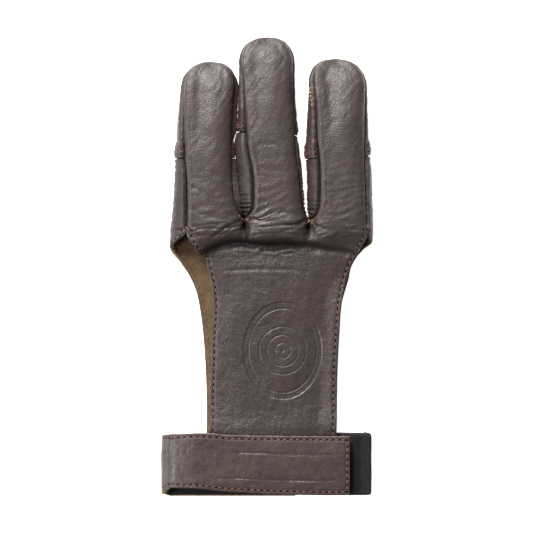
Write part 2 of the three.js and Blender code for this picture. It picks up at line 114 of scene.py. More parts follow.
TONGUE_CROWN = 0.8
FOLD_STRETCH = 1.1
SOLE_SPREAD = 0.7
BEND_SHARE = 0.63

HALF_HAND = HAND_WIDTH / 2
STACK = STRAP_WALL + GAP + LINING_WALL + GAP
WRIST_TOP = WRIST_HEIGHT - STACK


def table(columns, *rows):
    """Rows of numbers under named columns."""
    return {name: np.array([row[k] for row in rows], float) for k, name in enumerate(columns)}


# Left notch, the two crotches and right notch: shares of the hand's width and of the notch drop.
ROOTS = ((-0.5, -1), (-0.134, 0.1), (0.183, -0.1), (0.5, -1))

# Sections of each finger. Edges are shares of its width from its axis, seams of the half width.
SECTION = ("along", "left", "right", "seam_left", "seam_right")
FINGERS = (
    dict(name="index", length=70.6, width=25.6, axis=-0.316, bands=(27.4, 27.6), rows=table(
        SECTION,
        (0, 0.645, 0.65, 0.55, 1),
        (0.06, 0.63, 0.6, 0.56, 0.92),
        (0.15, 0.61, 0.545, 0.57, 0.89),
        (0.3, 0.575, 0.485, 0.63, 0.93),
        (0.45, 0.555, 0.458, 0.71, 0.96),
        (0.6, 0.535, 0.457, 0.78, 0.97),
        (0.82, 0.478, 0.5, 0.89, 0.98),
        (1, 0.43, 0.55, 1, 1),
    )),
    dict(name="middle", length=81.7, width=25, axis=-0.02, bands=(39.6, 37.8), rows=table(
        SECTION,
        (0, 0.412, 0.74, 1, 1),
        (0.05, 0.47, 0.69, 0.68, 0.96),
        (0.12, 0.505, 0.668, 0.58, 0.93),
        (0.25, 0.528, 0.636, 0.57, 0.91),
        (0.38, 0.572, 0.57, 0.63, 0.89),
        (0.5, 0.568, 0.55, 0.71, 0.92),
        (0.65, 0.52, 0.495, 0.87, 0.95),
        (0.85, 0.512, 0.484, 0.95, 0.98),
        (1, 0.5, 0.49, 1, 1),
    )),
    dict(name="ring", length=72, width=26.5, axis=0.324, bands=(27.2, 28.8), rows=table(
        SECTION,
        (0, 0.483, 0.602, 1, 0.81),
        (0.05, 0.515, 0.6, 0.73, 0.81),
        (0.15, 0.521, 0.592, 0.63, 0.81),
        (0.38, 0.532, 0.566, 0.62, 0.83),
        (0.5, 0.537, 0.527, 0.68, 0.9),
        (0.7, 0.504, 0.502, 0.77, 0.95),
        (0.85, 0.494, 0.49, 0.9, 0.98),
        (1, 0.5, 0.464, 1, 1),
    )),
)
FINGER_TOPS = table(("along", "top"), (0, 1), (0.5, 0.97), (0.75, 0.9), (0.9, 0.81), (1, 0.72))

# The back panel's edges below the crotches, shares of the tongue's length and of half the hand's
# width, and what is left of the finger roots' form.
BACK_EDGES = table(
    ("along", "left", "right", "root"),
    (0, -0.83, 0.95, 1),
    (0.03, -0.832, 0.95, 0.8),
    (0.053, -0.826, 0.946, 0.5),
    (0.074, -0.813, 0.943, 0.22),
    (0.093, -0.784, 0.91, 0.06),
    (0.111, -0.756, 0.881, 0),
    (0.132, -0.714, 0.853, 0),
    (0.1375, -0.705, 0.845, 0),
    (0.1425, -0.664, 0.838, 0),
    (0.16, -0.652, 0.813, 0),
    (0.2, -0.63, 0.769, 0),
    (0.26, -0.595, 0.723, 0),
    (0.337, -0.584, 0.685, 0),
    (0.448, -0.6, 0.666, 0),
    (0.568, -0.606, 0.65, 0),
    (0.679, -0.615, 0.644, 0),
    (1, -0.615, 0.644, 0),
)

# Its height at the edges and in the middle, shares of the hand's height: the roll over the
# knuckles, the valley under it and the tongue, then its rise to the wrist.
BACK_HEIGHTS = table(
    ("along", "low", "high", "wrist"),
    (0, 0.92, 1.0, 0),
    (0.03, 0.92, 1.01, 0),
    (0.055, 0.9, 1.0, 0),
    (0.072, 0.86, 0.96, 0),
    (0.084, 0.8, 0.9, 0),
    (0.093, 0.73, 0.81, 0),
    (0.1, 0.63, 0.69, 0),
    (0.106, 0.56, 0.59, 0),
    (0.115, 0.535, 0.565, 0),
    (0.14, 0.53, 0.59, 0),
    (0.2, 0.51, 0.615, 0),
    (0.26, 0.5, 0.625, 0),
    (0.337, 0.5, 0.625, 0),
    (0.679, 0.51, 0.62, 0),
    (0.756, 0.54, 0.64, 0.3),
    (0.807, 0.6, 0.68, 0.95),
    (0.83, 0.6, 0.68, 1),
    (1, 0.6, 0.68, 1),
)

# Where the valley under the knuckles runs, in millimetres.
VALLEY = table(
    ("along", "level"),
    (-36, -17.2),
    (-32.1, -15.6),
    (-28.4, -13.7),
    (-24.1, -11.6),
    (-18.5, -9.8),
    (-13, -9.9),
    (-2.7, -10.8),
    (5, -10.6),
    (15.3, -11.2),
    (21.6, -12.4),
    (31, -13.6),
    (40, -14.2),
)
VALLEY_SHARE = 0.102

# The palm panel below the crotches: where its edges stand on the side walls, in degrees round
# the section, sides and bends as shares of half the hand's width, and the rise over the strap.
PALM_ROWS = table(
    ("along", "left_turn", "left", "left_bend", "right_turn", "right", "right_bend", "root", "lift"),
    (0, 118, -1, 0.308, 398, 1, 0.3, 1, 0),
    (0.03, 120, -1.002, 0.308, 396, 1, 0.3, 0.85, 0),
    (0.059, 128, -1.004, 0.308, 380, 1, 0.3, 0.5, 0),
    (0.085, 150, -1.011, 0.308, 358, 1, 0.3, 0.2, 0),
    (0.106, 182, -1.015, 0.308, 315, 1, 0.3, 0.06, 0),
    (0.129, 212, -1.015, 0.308, 296, 1, 0.3, 0, 0),
    (0.153, 234, -1.015, 0.308, 286, 1, 0.3, 0, 0),
    (0.183, 248, -1.015, 0.308, 279, 1, 0.3, 0, 0),
    (0.226, 260, -0.97, 0.25, 276, 0.95, 0.24, 0, 0),
    (0.286, 264, -0.87, 0.17, 276, 0.85, 0.17, 0, 0),
    (0.354, 264, -0.798, 0.12, 276, 0.77, 0.12, 0, 0),
    (0.456, 264, -0.767, 0.12, 276, 0.747, 0.12, 0, 0),
    (0.576, 264, -0.747, 0.12, 276, 0.734, 0.12, 0, 0),
    (0.696, 264, -0.736, 0.12, 276, 0.729, 0.12, 0, 0),
    (0.781, 264, -0.736, 0.12, 276, 0.729, 0.12, 0, 0),
    (0.806, 264, -0.736, 0.12, 276, 0.729, 0.12, 0, 0.6),
    (0.825, 264, -0.736, 0.12, 276, 0.729, 0.12, 0, 1),
    (0.86, 264, -0.736, 0.12, 276, 0.729, 0.12, 0, 1),
    (1, 264, -0.736, 0.12, 276, 0.729, 0.12, 0, 1),
)

# The strap's edges along its front, from the fold to its cut end, and behind the glove: shares of
# its width.
STRAP_EDGES = table(
    ("along", "top", "bottom"),
    (0, 0.05, 0.095),
    (0.12, 0.077, 0.09),
    (0.21, 0.065, 0.06),
    (0.3, 0.04, 0.035),
    (0.6, 0.028, -0.012),
    (0.85, 0.02, -0.025),
    (1, 0.017, -0.022),
)
STRAP_REAR = (0.012, -0.05)

# How much of the raw edge shows from above, and behind which place on the back panel.
RAW_EDGE = 0.45
RAW_BEHIND = -8

# Forms of the relief, in millimetres.
MIDDLE_TIGHT = 0.9
SEAM_ROLL = 0.45
GROOVE_WIDTH = 0.6
TIP_DENT = 0.6
TIP_SAG = 1.5
MARGIN_CURL = 2
GATHER_PITCH = 1.9
FOLD_WIDTH = 1.3
FOLD_DEPTH = 0.85

# Waves and pebbles of the leather: weight, size in each direction and seed of every noise.
BACK_WAVES = ((0.32, (11, 14, 11), 3.1), (0.12, (4, 5, 4), 7.7))
BACK_PEBBLES = ((0.07, (1.9, 1.6, 2), 21.5), (0.03, (0.9, 0.9, 1), 2.5))
PALM_WAVES = ((0.28, (9, 12, 9), 31.1), (0.1, (3, 4, 3), 17.7))
CAP_WAVES = ((0.22, (9, 9, 9), 51.1), (0.08, (3, 3, 3), 27.7))
STRAP_WAVES = ((0.3, (16, 9, 16), 71.1), (0.1, (4, 3, 4), 37.7))
STRAP_PEBBLES = ((0.06, (1.7, 1.4, 2), 23.5), (0.03, (0.9, 0.8, 1), 6.5))
LINING_TUFTS = ((0.12, (0.8, 0.8, 0.8), 81.1),)
ELASTIC_WAVES = ((0.18, (14, 8, 14), 91.1),)

# Creases: degrees about Z, size in each direction, seed and width.
LEVEL_CREASES = (8, (11, 2.4, 30), 11.3, 0.2)
STEEP_CREASES = (55, (10, 1.9, 30), 4.9, 0.2)
TONGUE_CREASES = (-12, (7, 2.2, 9), 14.4, 0.15)
PALM_CREASES = (0, (9, 2, 9), 41.3, 0.2)
CAP_CREASES = (0, (7, 2.4, 7), 61.3, 0.16)

# Fine lines along the strap: distance from its upper edge, and where they start and end.
STRAP_LINES = ((7.6, 0.25, 0.97), (19.1, 0.15, 0.95))

# Rows of stitches on a cap's band, from its lower edge.
BAND_STITCHES = (1.1, 3.7)
BAND_PITCH = 2.0

# Slant of a needle hole to its row, and the bend of a thread.
HOLE_SLANT = 0.25
THREAD_ARCH = 0.7

# How far the painted-shade patch of a needle hole sinks into the leather, the height that no relief
# goes under, the height under which stitches are pressed flat by the sole, and the distance at which
# points are merged, in metres.
HOLE_SINK = 0.00002
RESTING = 0.0002
FLUSH = 0.00012
MERGE = 2e-6

SMOOTH_ANGLE = math.radians(40)

# A distance in millimetres that is farther than any on the glove.
NOWHERE = 99.0

# What every point of a sheet knows: the finger that it is on, its distance from the row of the
# finger roots or from the lower edge, and its distances from the left and the right edge.
MARKS = ("zone", "reach", "left_run", "right_run")

# How finely the pieces are divided.
BACK_COLUMNS = 48
BACK_FINGER_ROWS = 84
BACK_HAND_ROWS = 232
PALM_COLUMNS = 46
PALM_FINGER_ROWS = 46
PALM_HAND_ROWS = 150
CAP_ROWS = 62
DOME_ROWS = 18
STRAP_ROWS = 320
STRAP_COLUMNS = 52
LINING_ROWS = 200
LINING_COLUMNS = 32
ELASTIC_ROWS = 330
ELASTIC_COLUMNS = 96

# Where the glove stands in the frame, from the boxes of two of its solids.
SHIFT = np.array((
    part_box("wrist_strap")[0][0] / MM + STRAP_FOLD,
    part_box("middle_tip")[1][1] / MM - FINGERS[1]["length"],
    0.0,
))


# Sizes and colours that a user would change.

def length(name, description, default):
    return FloatProperty(
        name=name, description=description, default=default, min=0, subtype="DISTANCE", unit="LENGTH")


def colour(name, description, default):
    return FloatVectorProperty(
        name=name, description=description, default=default, size=3, min=0, max=1, subtype="COLOR")


class GloveSizes(bpy.types.PropertyGroup):
    stitch_pitch: length("Stitch pitch", "Distance from one needle hole to the next", 0.0029)
    stitch_inset: length("Stitch inset", "Distance from a cut edge to its row of stitches", 0.0019)
    thread_width: length("Thread width", "Width of the sewing thread", 0.0006)
    hole_width: length("Hole width", "Width of a needle hole in the leather", 0.0008)
    seam_depth: length("Seam depth", "How far the turned seams of the fingers sink", 0.0009)
    crease_depth: length("Crease depth", "Depth of the creases in the fingers", 0.0003)
    emboss_depth: length("Emboss depth", "Depth of the ornament pressed into the tongue", 0.0005)
    pebble: length("Grain size", "Size of a pebble of the leather's grain", 0.0012)
    rib: length("Elastic rib", "Distance between the elastic's ribs", 0.0011)
    camera_height: length("Camera height", "Height of the camera above the surface", 1.2)
    view_width: length("View width", "Width of what the camera sees on the surface", 0.2398)


class GloveColours(bpy.types.PropertyGroup):
    leather: colour("Leather", "Grain side of the leather", (0.0215, 0.0128, 0.0117))
    leather_worn: colour("Worn leather", "High places of the grain side", (0.056, 0.0395, 0.0368))
    # Painted shade: the leather's colour in the bottom of folds, creases and seams and in the shadow under the
    # knuckle roll.
    leather_fold_shade: colour("Leather fold", "Bottom of creases and seams", (0.009, 0.0055, 0.005))
    suede: colour("Suede", "Flesh side of the leather", (0.145, 0.092, 0.043))
    suede_dark: colour("Dark suede", "Brushed places of the flesh side", (0.06, 0.036, 0.016))
    cut_edge: colour("Cut edge", "Raw edge of the leather", (0.36, 0.23, 0.11))
    thread: colour("Thread", "Sewing thread", (0.2, 0.088, 0.068))
    orange_thread: colour("Orange thread", "Tack between the middle and the ring finger", (0.38, 0.17, 0.05))
    pale_thread: colour("Pale thread", "Thread of the ring finger's tip seam", (0.4, 0.31, 0.12))
    black: colour("Black fabric", "Elastic and hook-and-loop lining", (0.0035, 0.0035, 0.0036))
    floor: colour("Floor", "Surface that the glove lies on", (0.93, 0.93, 0.93))


# Shape of the leather.

def mix(a, b, share):
    return a + (b - a) * share


def ease(start, end, at):
    """A soft step from 0 at the start to 1 at the end."""
    u = np.clip((at - start) / (end - start), 0, 1)
    return u * u * (3 - 2 * u)


def unit(vectors):
    return vectors / np.maximum(np.linalg.norm(vectors, axis=-1, keepdims=True), 1e-12)


def travelled(line):
    """Distance of every point of a line from its start, along the line."""
    return np.concatenate(((0,), np.cumsum(np.linalg.norm(np.diff(line, axis=0), axis=1))))


def sampled(at, run, values):
    """The rows of values that stand at the distances run, read at other distances."""
    return np.stack([np.interp(at, run, column) for column in values.T], axis=-1)


def signed_power(value, power):
    return np.sign(value) * np.abs(value) ** power


def read(rows, at, column):
    """Smooth curve through one column of a table."""
    along, values = rows["along"], rows[column]
    at = np.clip(at, along[0], along[-1])
    slopes = np.empty_like(values)
    slopes[1:-1] = (values[2:] - values[:-2]) / (along[2:] - along[:-2])
    slopes[0] = (values[1] - values[0]) / (along[1] - along[0])
    slopes[-1] = (values[-1] - values[-2]) / (along[-1] - along[-2])
    i = np.clip(np.searchsorted(along, at, side="right") - 1, 0, len(along) - 2)
    run = along[i + 1] - along[i]
    u = (at - along[i]) / run
    start = (1 + 2 * u) * (1 - u) ** 2 * values[i] + u * (1 - u) ** 2 * run * slopes[i]
    return start + u * u * (3 - 2 * u) * values[i + 1] + u * u * (u - 1) * run * slopes[i + 1]


def read_all(rows, at):
    """Smooth curves through all columns of a table."""
    return {name: read(rows, at, name) for name in rows}


def across_at(turn):
    """How far across a finger a turn stands: from -1, its left side, to 1."""
    return signed_power(np.cos(turn), np.where(np.sin(turn) > 0, 2 / TOP_POWER, 2 / SOLE_POWER))


def root_at(number, across):
    """Where the skin of a finger starts, from its left to its right side."""
    return mix(ROOTS[number][1], ROOTS[number + 1][1], (across + 1) / 2) * NOTCH_DROP


def band_share(finger):
    """How far up a finger its band lies, as a share of its length."""
    return sum(finger["bands"]) / 2 / finger["length"]


def levelled(number, share, turn):
    """Moves a share of a finger's length along with the two sides of its band."""
    finger = FINGERS[number]
    across = across_at(turn)
    root = root_at(number, across)
    band = mix(finger["bands"][0], finger["bands"][1], (across + 1) / 2)
    there = (band - root) / (finger["length"] - root)
    usual = band_share(finger)
    below = share + (there - usual) * ease(CROTCH_FADE, usual, share)
    return np.where(share <= usual, below, mix(there, 1, (share - usual) / (1 - usual)))


def unmoved(number, share, turn):
    return np.broadcast_to(share, turn.shape)


def skin(number, share, turn):
    """Points on the outer skin of a finger: share of its length, turn round its section."""
    finger = FINGERS[number]
    rows = finger["rows"]
    left_root, right_root = ROOTS[number][0], ROOTS[number + 1][0]
    fade = np.clip(1 - share / CROTCH_FADE, 0, 1) ** 2
    axis, width = finger["axis"] * HAND_WIDTH, finger["width"]
    left_miss = left_root * HAND_WIDTH - (axis - width * rows["left"][0])
    right_miss = right_root * HAND_WIDTH - (axis + width * rows["right"][0])
    left = axis - width * read(rows, share, "left") + left_miss * fade
    right = axis + width * read(rows, share, "right") + right_miss * fade
    dome = np.clip((share * finger["length"] - finger["length"] + TIP_ROUND) / TIP_ROUND, 0, 1)
    shrink = (1 - dome ** TIP_POWER) ** (1 / TIP_POWER)
    across = across_at(turn)
    sine = np.sin(turn)
    power = np.where(sine > 0, 2 / TOP_POWER, 2 / SOLE_POWER)
    height = np.where(sine > 0, TOP_HEIGHT * read(FINGER_TOPS, share, "top"), MID_HEIGHT)
    return np.stack((
        (left + right) / 2 + (right - left) / 2 * shrink * across,
        mix(root_at(number, across), finger["length"], share),
        MID_HEIGHT + GAP / 2 + height * shrink * signed_power(sine, power),
    ), axis=-1)


def skin_normal(number, share, turn, small=1e-3):
    """Directions outwards from a finger's skin."""
    along = skin(number, np.minimum(share + small, 1 - small / 2), turn) - skin(number, share - small, turn)
    around = skin(number, share, turn + small) - skin(number, share, turn - small)
    normal = unit(np.cross(along, around))
    normal[np.broadcast_to(share, normal.shape[:-1]) >= 1] = (0, 1, 0)
    return normal


def seam_turns(number, share):
    """The turns at which a finger's two seams stand."""
    rows = FINGERS[number]["rows"]
    left = np.clip(read(rows, share, "seam_left"), 0, 1)
    right = np.clip(read(rows, share, "seam_right"), 0, 1)
    return math.pi - np.arccos(left ** (TOP_POWER / 2)), np.arccos(right ** (TOP_POWER / 2))


def seam_trim(number, share, turn, gap=0.1, small=0.02):
    """Half the gap of a seam, as a turn round the section."""
    run = np.linalg.norm(skin(number, share, turn + small) - skin(number, share, turn - small), axis=-1)
    return np.minimum(gap * 2 * small / np.maximum(run, small), 0.1)


def meeting_turns(number, share):
    """The turns of a finger's two seams, which meet the next finger's at the crotches."""
    left, right = seam_turns(number, share)
    if number > 0:
        left = np.where(share <= 0, math.pi, left)
    if number < 2:
        right = np.where(share <= 0, 0, right)
    return left, right, seam_trim(number, share, left), seam_trim(number, share, right)


def back_turns(number, share):
    left, right, left_trim, right_trim = meeting_turns(number, share)
    return left - left_trim, right + right_trim


def palm_turns(number, share):
    left, right, left_trim, right_trim = meeting_turns(number, share)
    return left + left_trim, 2 * math.pi + right - right_trim


def band_proud(normal):
    """How far a cap's band stands proud of the skin: not at all where it rests on the surface."""
    return BAND_PROUD * (1 - ease(0.3, 0.9, -normal[..., 2]))


def flush(share, normal):
    return 0


def finger_grid(number, shares, turns_of, columns, shift, proud_of=flush, share_at=unmoved):
    """Points over one finger: a row for each share of its length, a column for each turn."""
    usual = np.asarray(shares, float)[:, None]
    share = usual
    for _ in range(3):
        start, end = turns_of(number, share)
        turn = mix(start, end, np.linspace(0, 1, columns + 1)[None, :])
        share = share_at(number, usual, turn)
    if number > 0:
        turn = np.where((share <= 0) & (np.arange(columns + 1) == 0), math.pi, turn)
    if number < 2:
        last = 2 * math.pi if turns_of is palm_turns else 0
        turn = np.where((share <= 0) & (np.arange(columns + 1) == columns), last, turn)
    normal = skin_normal(number, share, turn)
    points = skin(number, share, turn) + normal * np.asarray(proud_of(usual, normal))[..., None]
    points[..., 2] += shift
    points[share >= 1 - 1e-9] = skin(number, np.array(1.0), np.array(0.0)) + (0, 0, shift)
    return points


def dome_shares(finger, start, rows):
    """Shares of the length from a start to the tip, closer together where the tip turns round."""
    level = np.linspace(start, finger["length"] - TIP_ROUND, rows - DOME_ROWS + 1)
    reach = np.sin(np.arange(1, DOME_ROWS + 1) / DOME_ROWS * math.pi / 2)
    shares = np.concatenate((level, finger["length"] - TIP_ROUND * (1 - reach))) / finger["length"]
    shares[-1] = 1
    return shares


def runs(points):
    """Distance of every point of a grid from its left and its right edge, along its row."""
    steps = np.linalg.norm(np.diff(points, axis=1), axis=-1)
    left = np.concatenate((np.zeros((len(points), 1)), np.cumsum(steps, axis=1)), axis=1)
    return left, left[:, -1:] - left


def marks_of(points, zone, reach):
    """What the points of a grid know."""
    left, right = runs(points)
    return dict(zip(MARKS, (np.full(left.shape, float(zone)), np.broadcast_to(reach, left.shape), left, right)))


def back_fingers():
    """The grids of the three finger backs, each with its shares of the length."""
    grids = []
    for number, finger in enumerate(FINGERS):
        shares = dome_shares(finger, 0, BACK_FINGER_ROWS)
        grids.append((finger_grid(number, shares, back_turns, BACK_COLUMNS, GAP / 2), shares))
    return grids


def hand_y(root, along):
    """How far down the hand a row lies, with the form of the roots fading out."""
    return root[:, 1] * (1 - ease(0, ROOT_RUN, along)) - along * TONGUE_LENGTH


def back_hand(root):
    """The back panel's hand part and tongue, under the row of the finger roots."""
    along = np.linspace(1, 0, BACK_HAND_ROWS + 1)[:, None] ** 1.25
    share = np.linspace(0, 1, root.shape[0])[None, :]
    edge = read_all(BACK_EDGES, along)
    x = mix(mix(edge["left"], edge["right"], share) * HALF_HAND, root[:, 0], edge["root"])
    y = hand_y(root, along)
    near = ease(0.3, 0.15, along) * ease(-0.03, 0.06, along)
    level = -y / TONGUE_LENGTH + (read(VALLEY, x, "level") / TONGUE_LENGTH + VALLEY_SHARE) * near
    value = read_all(BACK_HEIGHTS, level)
    middle = 1 - np.abs(2 * share - 1) ** WALL_POWER
    low = mix(value["low"] * HAND_HEIGHT, WRIST_TOP - TONGUE_CROWN, value["wrist"])
    high = mix(value["high"] * HAND_HEIGHT, WRIST_TOP, value["wrist"])
    z = mix(mix(low, high, middle), root[:, 2], edge["root"])
    return np.stack((x, y, z), axis=-1), along


def palm_fingers():
    """The grids of the fingers' side strips, pressed in where the caps lap over them."""
    grids = []
    pressed = CAP_WALL + GAP
    for number, finger in enumerate(FINGERS):
        band = band_share(finger) * finger["length"]
        reach = np.linspace(0, band + BAND_HEIGHT - GAP, PALM_FINGER_ROWS + 1)

        def proud_of(share, normal, band=band, length=finger["length"]):
            under = ease(band - PRESS_RUN, band - GAP, share * length)
            return under * (band_proud(normal) - pressed)

        shares = reach / finger["length"]
        grids.append((
            finger_grid(number, shares, palm_turns, PALM_COLUMNS, -GAP / 2, proud_of, levelled),
            shares,
        ))
    return grids


def palm_hand(root):
    """The palm panel's hand part: side walls, the flat sole and the rear tongue."""
    along = np.linspace(1, 0, PALM_HAND_ROWS + 1)[:, None]
    column = np.arange(root.shape[0])[None, :]
    number = np.minimum(column // PALM_COLUMNS, 2)
    share = column / PALM_COLUMNS - number
    value = read_all(PALM_ROWS, along)
    left_bend, right_bend = value["left_bend"] * HALF_HAND, value["right_bend"] * HALF_HAND
    sole_left = value["left"] * HALF_HAND + left_bend
    sole_right = value["right"] * HALF_HAND - right_bend
    first = mix(sole_left, sole_right, ROOTS[1][0] / SOLE_SPREAD + 0.5)
    second = mix(sole_left, sole_right, ROOTS[2][0] / SOLE_SPREAD + 0.5)
    flat = 1 - BEND_SHARE
    x = np.where(number == 0, mix(sole_left, first, np.clip((share - BEND_SHARE) / flat, 0, 1)), 0)
    x = np.where(number == 1, mix(first, second, share), x)
    x = np.where(number == 2, mix(second, sole_right, np.clip(share / flat, 0, 1)), x)
    left_part = np.where(number == 0, np.clip(share / BEND_SHARE, 0, 1), 1)
    right_part = np.where(number == 2, np.clip((share - flat) / BEND_SHARE, 0, 1), 0)
    left_turn = mix(np.radians(value["left_turn"]), 1.5 * math.pi, left_part)
    right_turn = mix(1.5 * math.pi, np.radians(value["right_turn"]), right_part)
    z = np.zeros_like(x)
    for turn, bent, bend, centre in (
        (left_turn, left_part < 1, left_bend, sole_left),
        (right_turn, right_part > 0, right_bend, sole_right),
    ):
        sine = np.sin(turn)
        power = np.where(sine > 0, 2 / WALL_POWER, 2 / SOLE_POWER)
        x = np.where(bent, centre + bend * signed_power(np.cos(turn), power), x)
        rise = MID_HEIGHT + np.where(sine > 0, TOP_HEIGHT, MID_HEIGHT) * signed_power(sine, power)
        z = np.where(bent, rise, z)
    z = z + value["lift"] * STACK
    points = np.stack((
        mix(x, root[:, 0], value["root"]),
        hand_y(root, along),
        mix(z, root[:, 2], value["root"]),
    ), axis=-1)
    return points, along


def joined_root(grids):
    """The row of points where the three fingers meet the hand."""
    rows = [points[0] for points, _ in grids]
    return np.concatenate((rows[0], rows[1][1:], rows[2][1:]))


def band_path(rear_end, fold, front_end, height, side, count):
    """Even steps of a band that turns up round a fold: x, z, share of the front, way outwards."""
    round_half = height / 2
    bend = round_half * FOLD_STRETCH
    angle = np.linspace(0, math.pi, 60)[1:-1]
    start = side * (fold - bend)
    arc_x = start + side * bend * np.sin(angle)
    arc_z = round_half * (1 - np.cos(angle))
    x = np.concatenate(((rear_end, start), arc_x, (start, front_end)))
    z = np.concatenate(((0, 0), arc_z, (height, height)))
    out_x = np.concatenate(((0, 0), side * np.sin(angle) / bend, (0, 0)))
    out_z = np.concatenate(((-1, -1), -np.cos(angle) / round_half, (1, 1)))
    run = travelled(np.stack((x, z), axis=-1))
    at = np.linspace(0, run[-1], count)
    front = np.concatenate((np.zeros(len(x) - 2), (0, 1)))
    out = sampled(at, run, unit(np.stack((out_x, out_z), axis=-1)))
    return np.interp(at, run, x), np.interp(at, run, z), np.interp(at, run, front), unit(out)


def band_grid(path, top, bottom, inset, columns):
    """A grid along the steps of a band, from its lower to its upper edge."""
    x, z, _, out = path
    share = np.linspace(0, 1, columns + 1)[None, :]
    y = mix(np.broadcast_to(bottom, x.shape)[:, None], np.broadcast_to(top, x.shape)[:, None], share)
    points = np.zeros(y.shape + (3,))
    points[..., 0] = (x - out[:, 0] * inset)[:, None]
    points[..., 1] = y
    points[..., 2] = (z - out[:, 1] * inset)[:, None]
    return points


def strap_grid(trim, inset, rows, columns):
    """The strap's grid, or the lining's where it is trimmed and inset."""
    path = band_path(STRAP_REAR_END - trim, STRAP_FOLD, STRAP_FRONT_END - trim, WRIST_HEIGHT, -1, rows + 1)
    front = path[2]
    risen = ease(0.1, 0.95, path[1] / WRIST_HEIGHT)
    top = -STRAP_TOP + mix(STRAP_REAR[0], read(STRAP_EDGES, front, "top"), risen) * STRAP_WIDTH - trim
    bottom = mix(STRAP_REAR[1], read(STRAP_EDGES, front, "bottom"), risen) * STRAP_WIDTH
    bottom = bottom - STRAP_TOP - STRAP_WIDTH + trim
    return band_grid(path, top, bottom, inset, columns), front


def elastic_grid():
    """The elastic's grid, which turns up round the other fold."""
    height = WRIST_TOP - TONGUE_CROWN - BACK_WALL - GAP
    path = band_path(STRAP_REAR_END + 2.5 * GAP, ELASTIC_FOLD, ELASTIC_START, height, 1, ELASTIC_ROWS + 1)
    top = -STRAP_TOP + (ELASTIC_WIDTH - STRAP_WIDTH) / 2
    return band_grid(path, top, top - ELASTIC_WIDTH, 0, ELASTIC_COLUMNS), path[2]


# Relief of the leather. Each function gives the relief in millimetres, the painted shade that darkens
# its folds, creases, seams and grooves, and how much of the drawn wrinkles shows.

def soft_noise(points, size, seed):
    """Smooth noise, with one size for each direction."""
    scaled = points / np.asarray(size, float) + seed
    return np.array([noise.noise(Vector(point)) for point in scaled])


def noises(points, layers):
    """A sum of smooth noises, from the weight, the size and the seed of each."""
    return sum(weight * soft_noise(points, size, seed) for weight, size, seed in layers)


def bell(value, width):
    """1 where a value is nought, and less on both sides of it."""
    return np.exp(-((value / width) ** 2))


def creased(points, degrees, size, seed, width):
    """Narrow lines where a noise that is turned about Z crosses nought."""
    cosine, sine = math.cos(math.radians(degrees)), math.sin(math.radians(degrees))
    turned = points @ np.array(((cosine, -sine, 0), (sine, cosine, 0), (0, 0, 1)))
    return bell(soft_noise(turned, size, seed), width)


def by_finger(zone, values, other):
    """One value for the points of each finger, and another for the rest."""
    return np.select([zone < 0.5, zone < 1.5, zone < 2.5], list(values), other)


def off_surface(points):
    """1 for the places above the surface that the glove lies on, where the leather is free."""
    return ease(0.4, 2.5, points[:, 2])


def seam_form(edge, sizes):
    """A turned seam: the leather rolls in at the edge and stands up beside it."""
    return 0.25 * bell(edge - 1.7, 0.7) - sizes.seam_depth / MM * bell(edge, SEAM_ROLL)


def stitch_groove(run, depth, sizes):
    """The groove that a row of stitches draws into the leather."""
    return depth * bell(run - sizes.stitch_inset / MM, GROOVE_WIDTH)


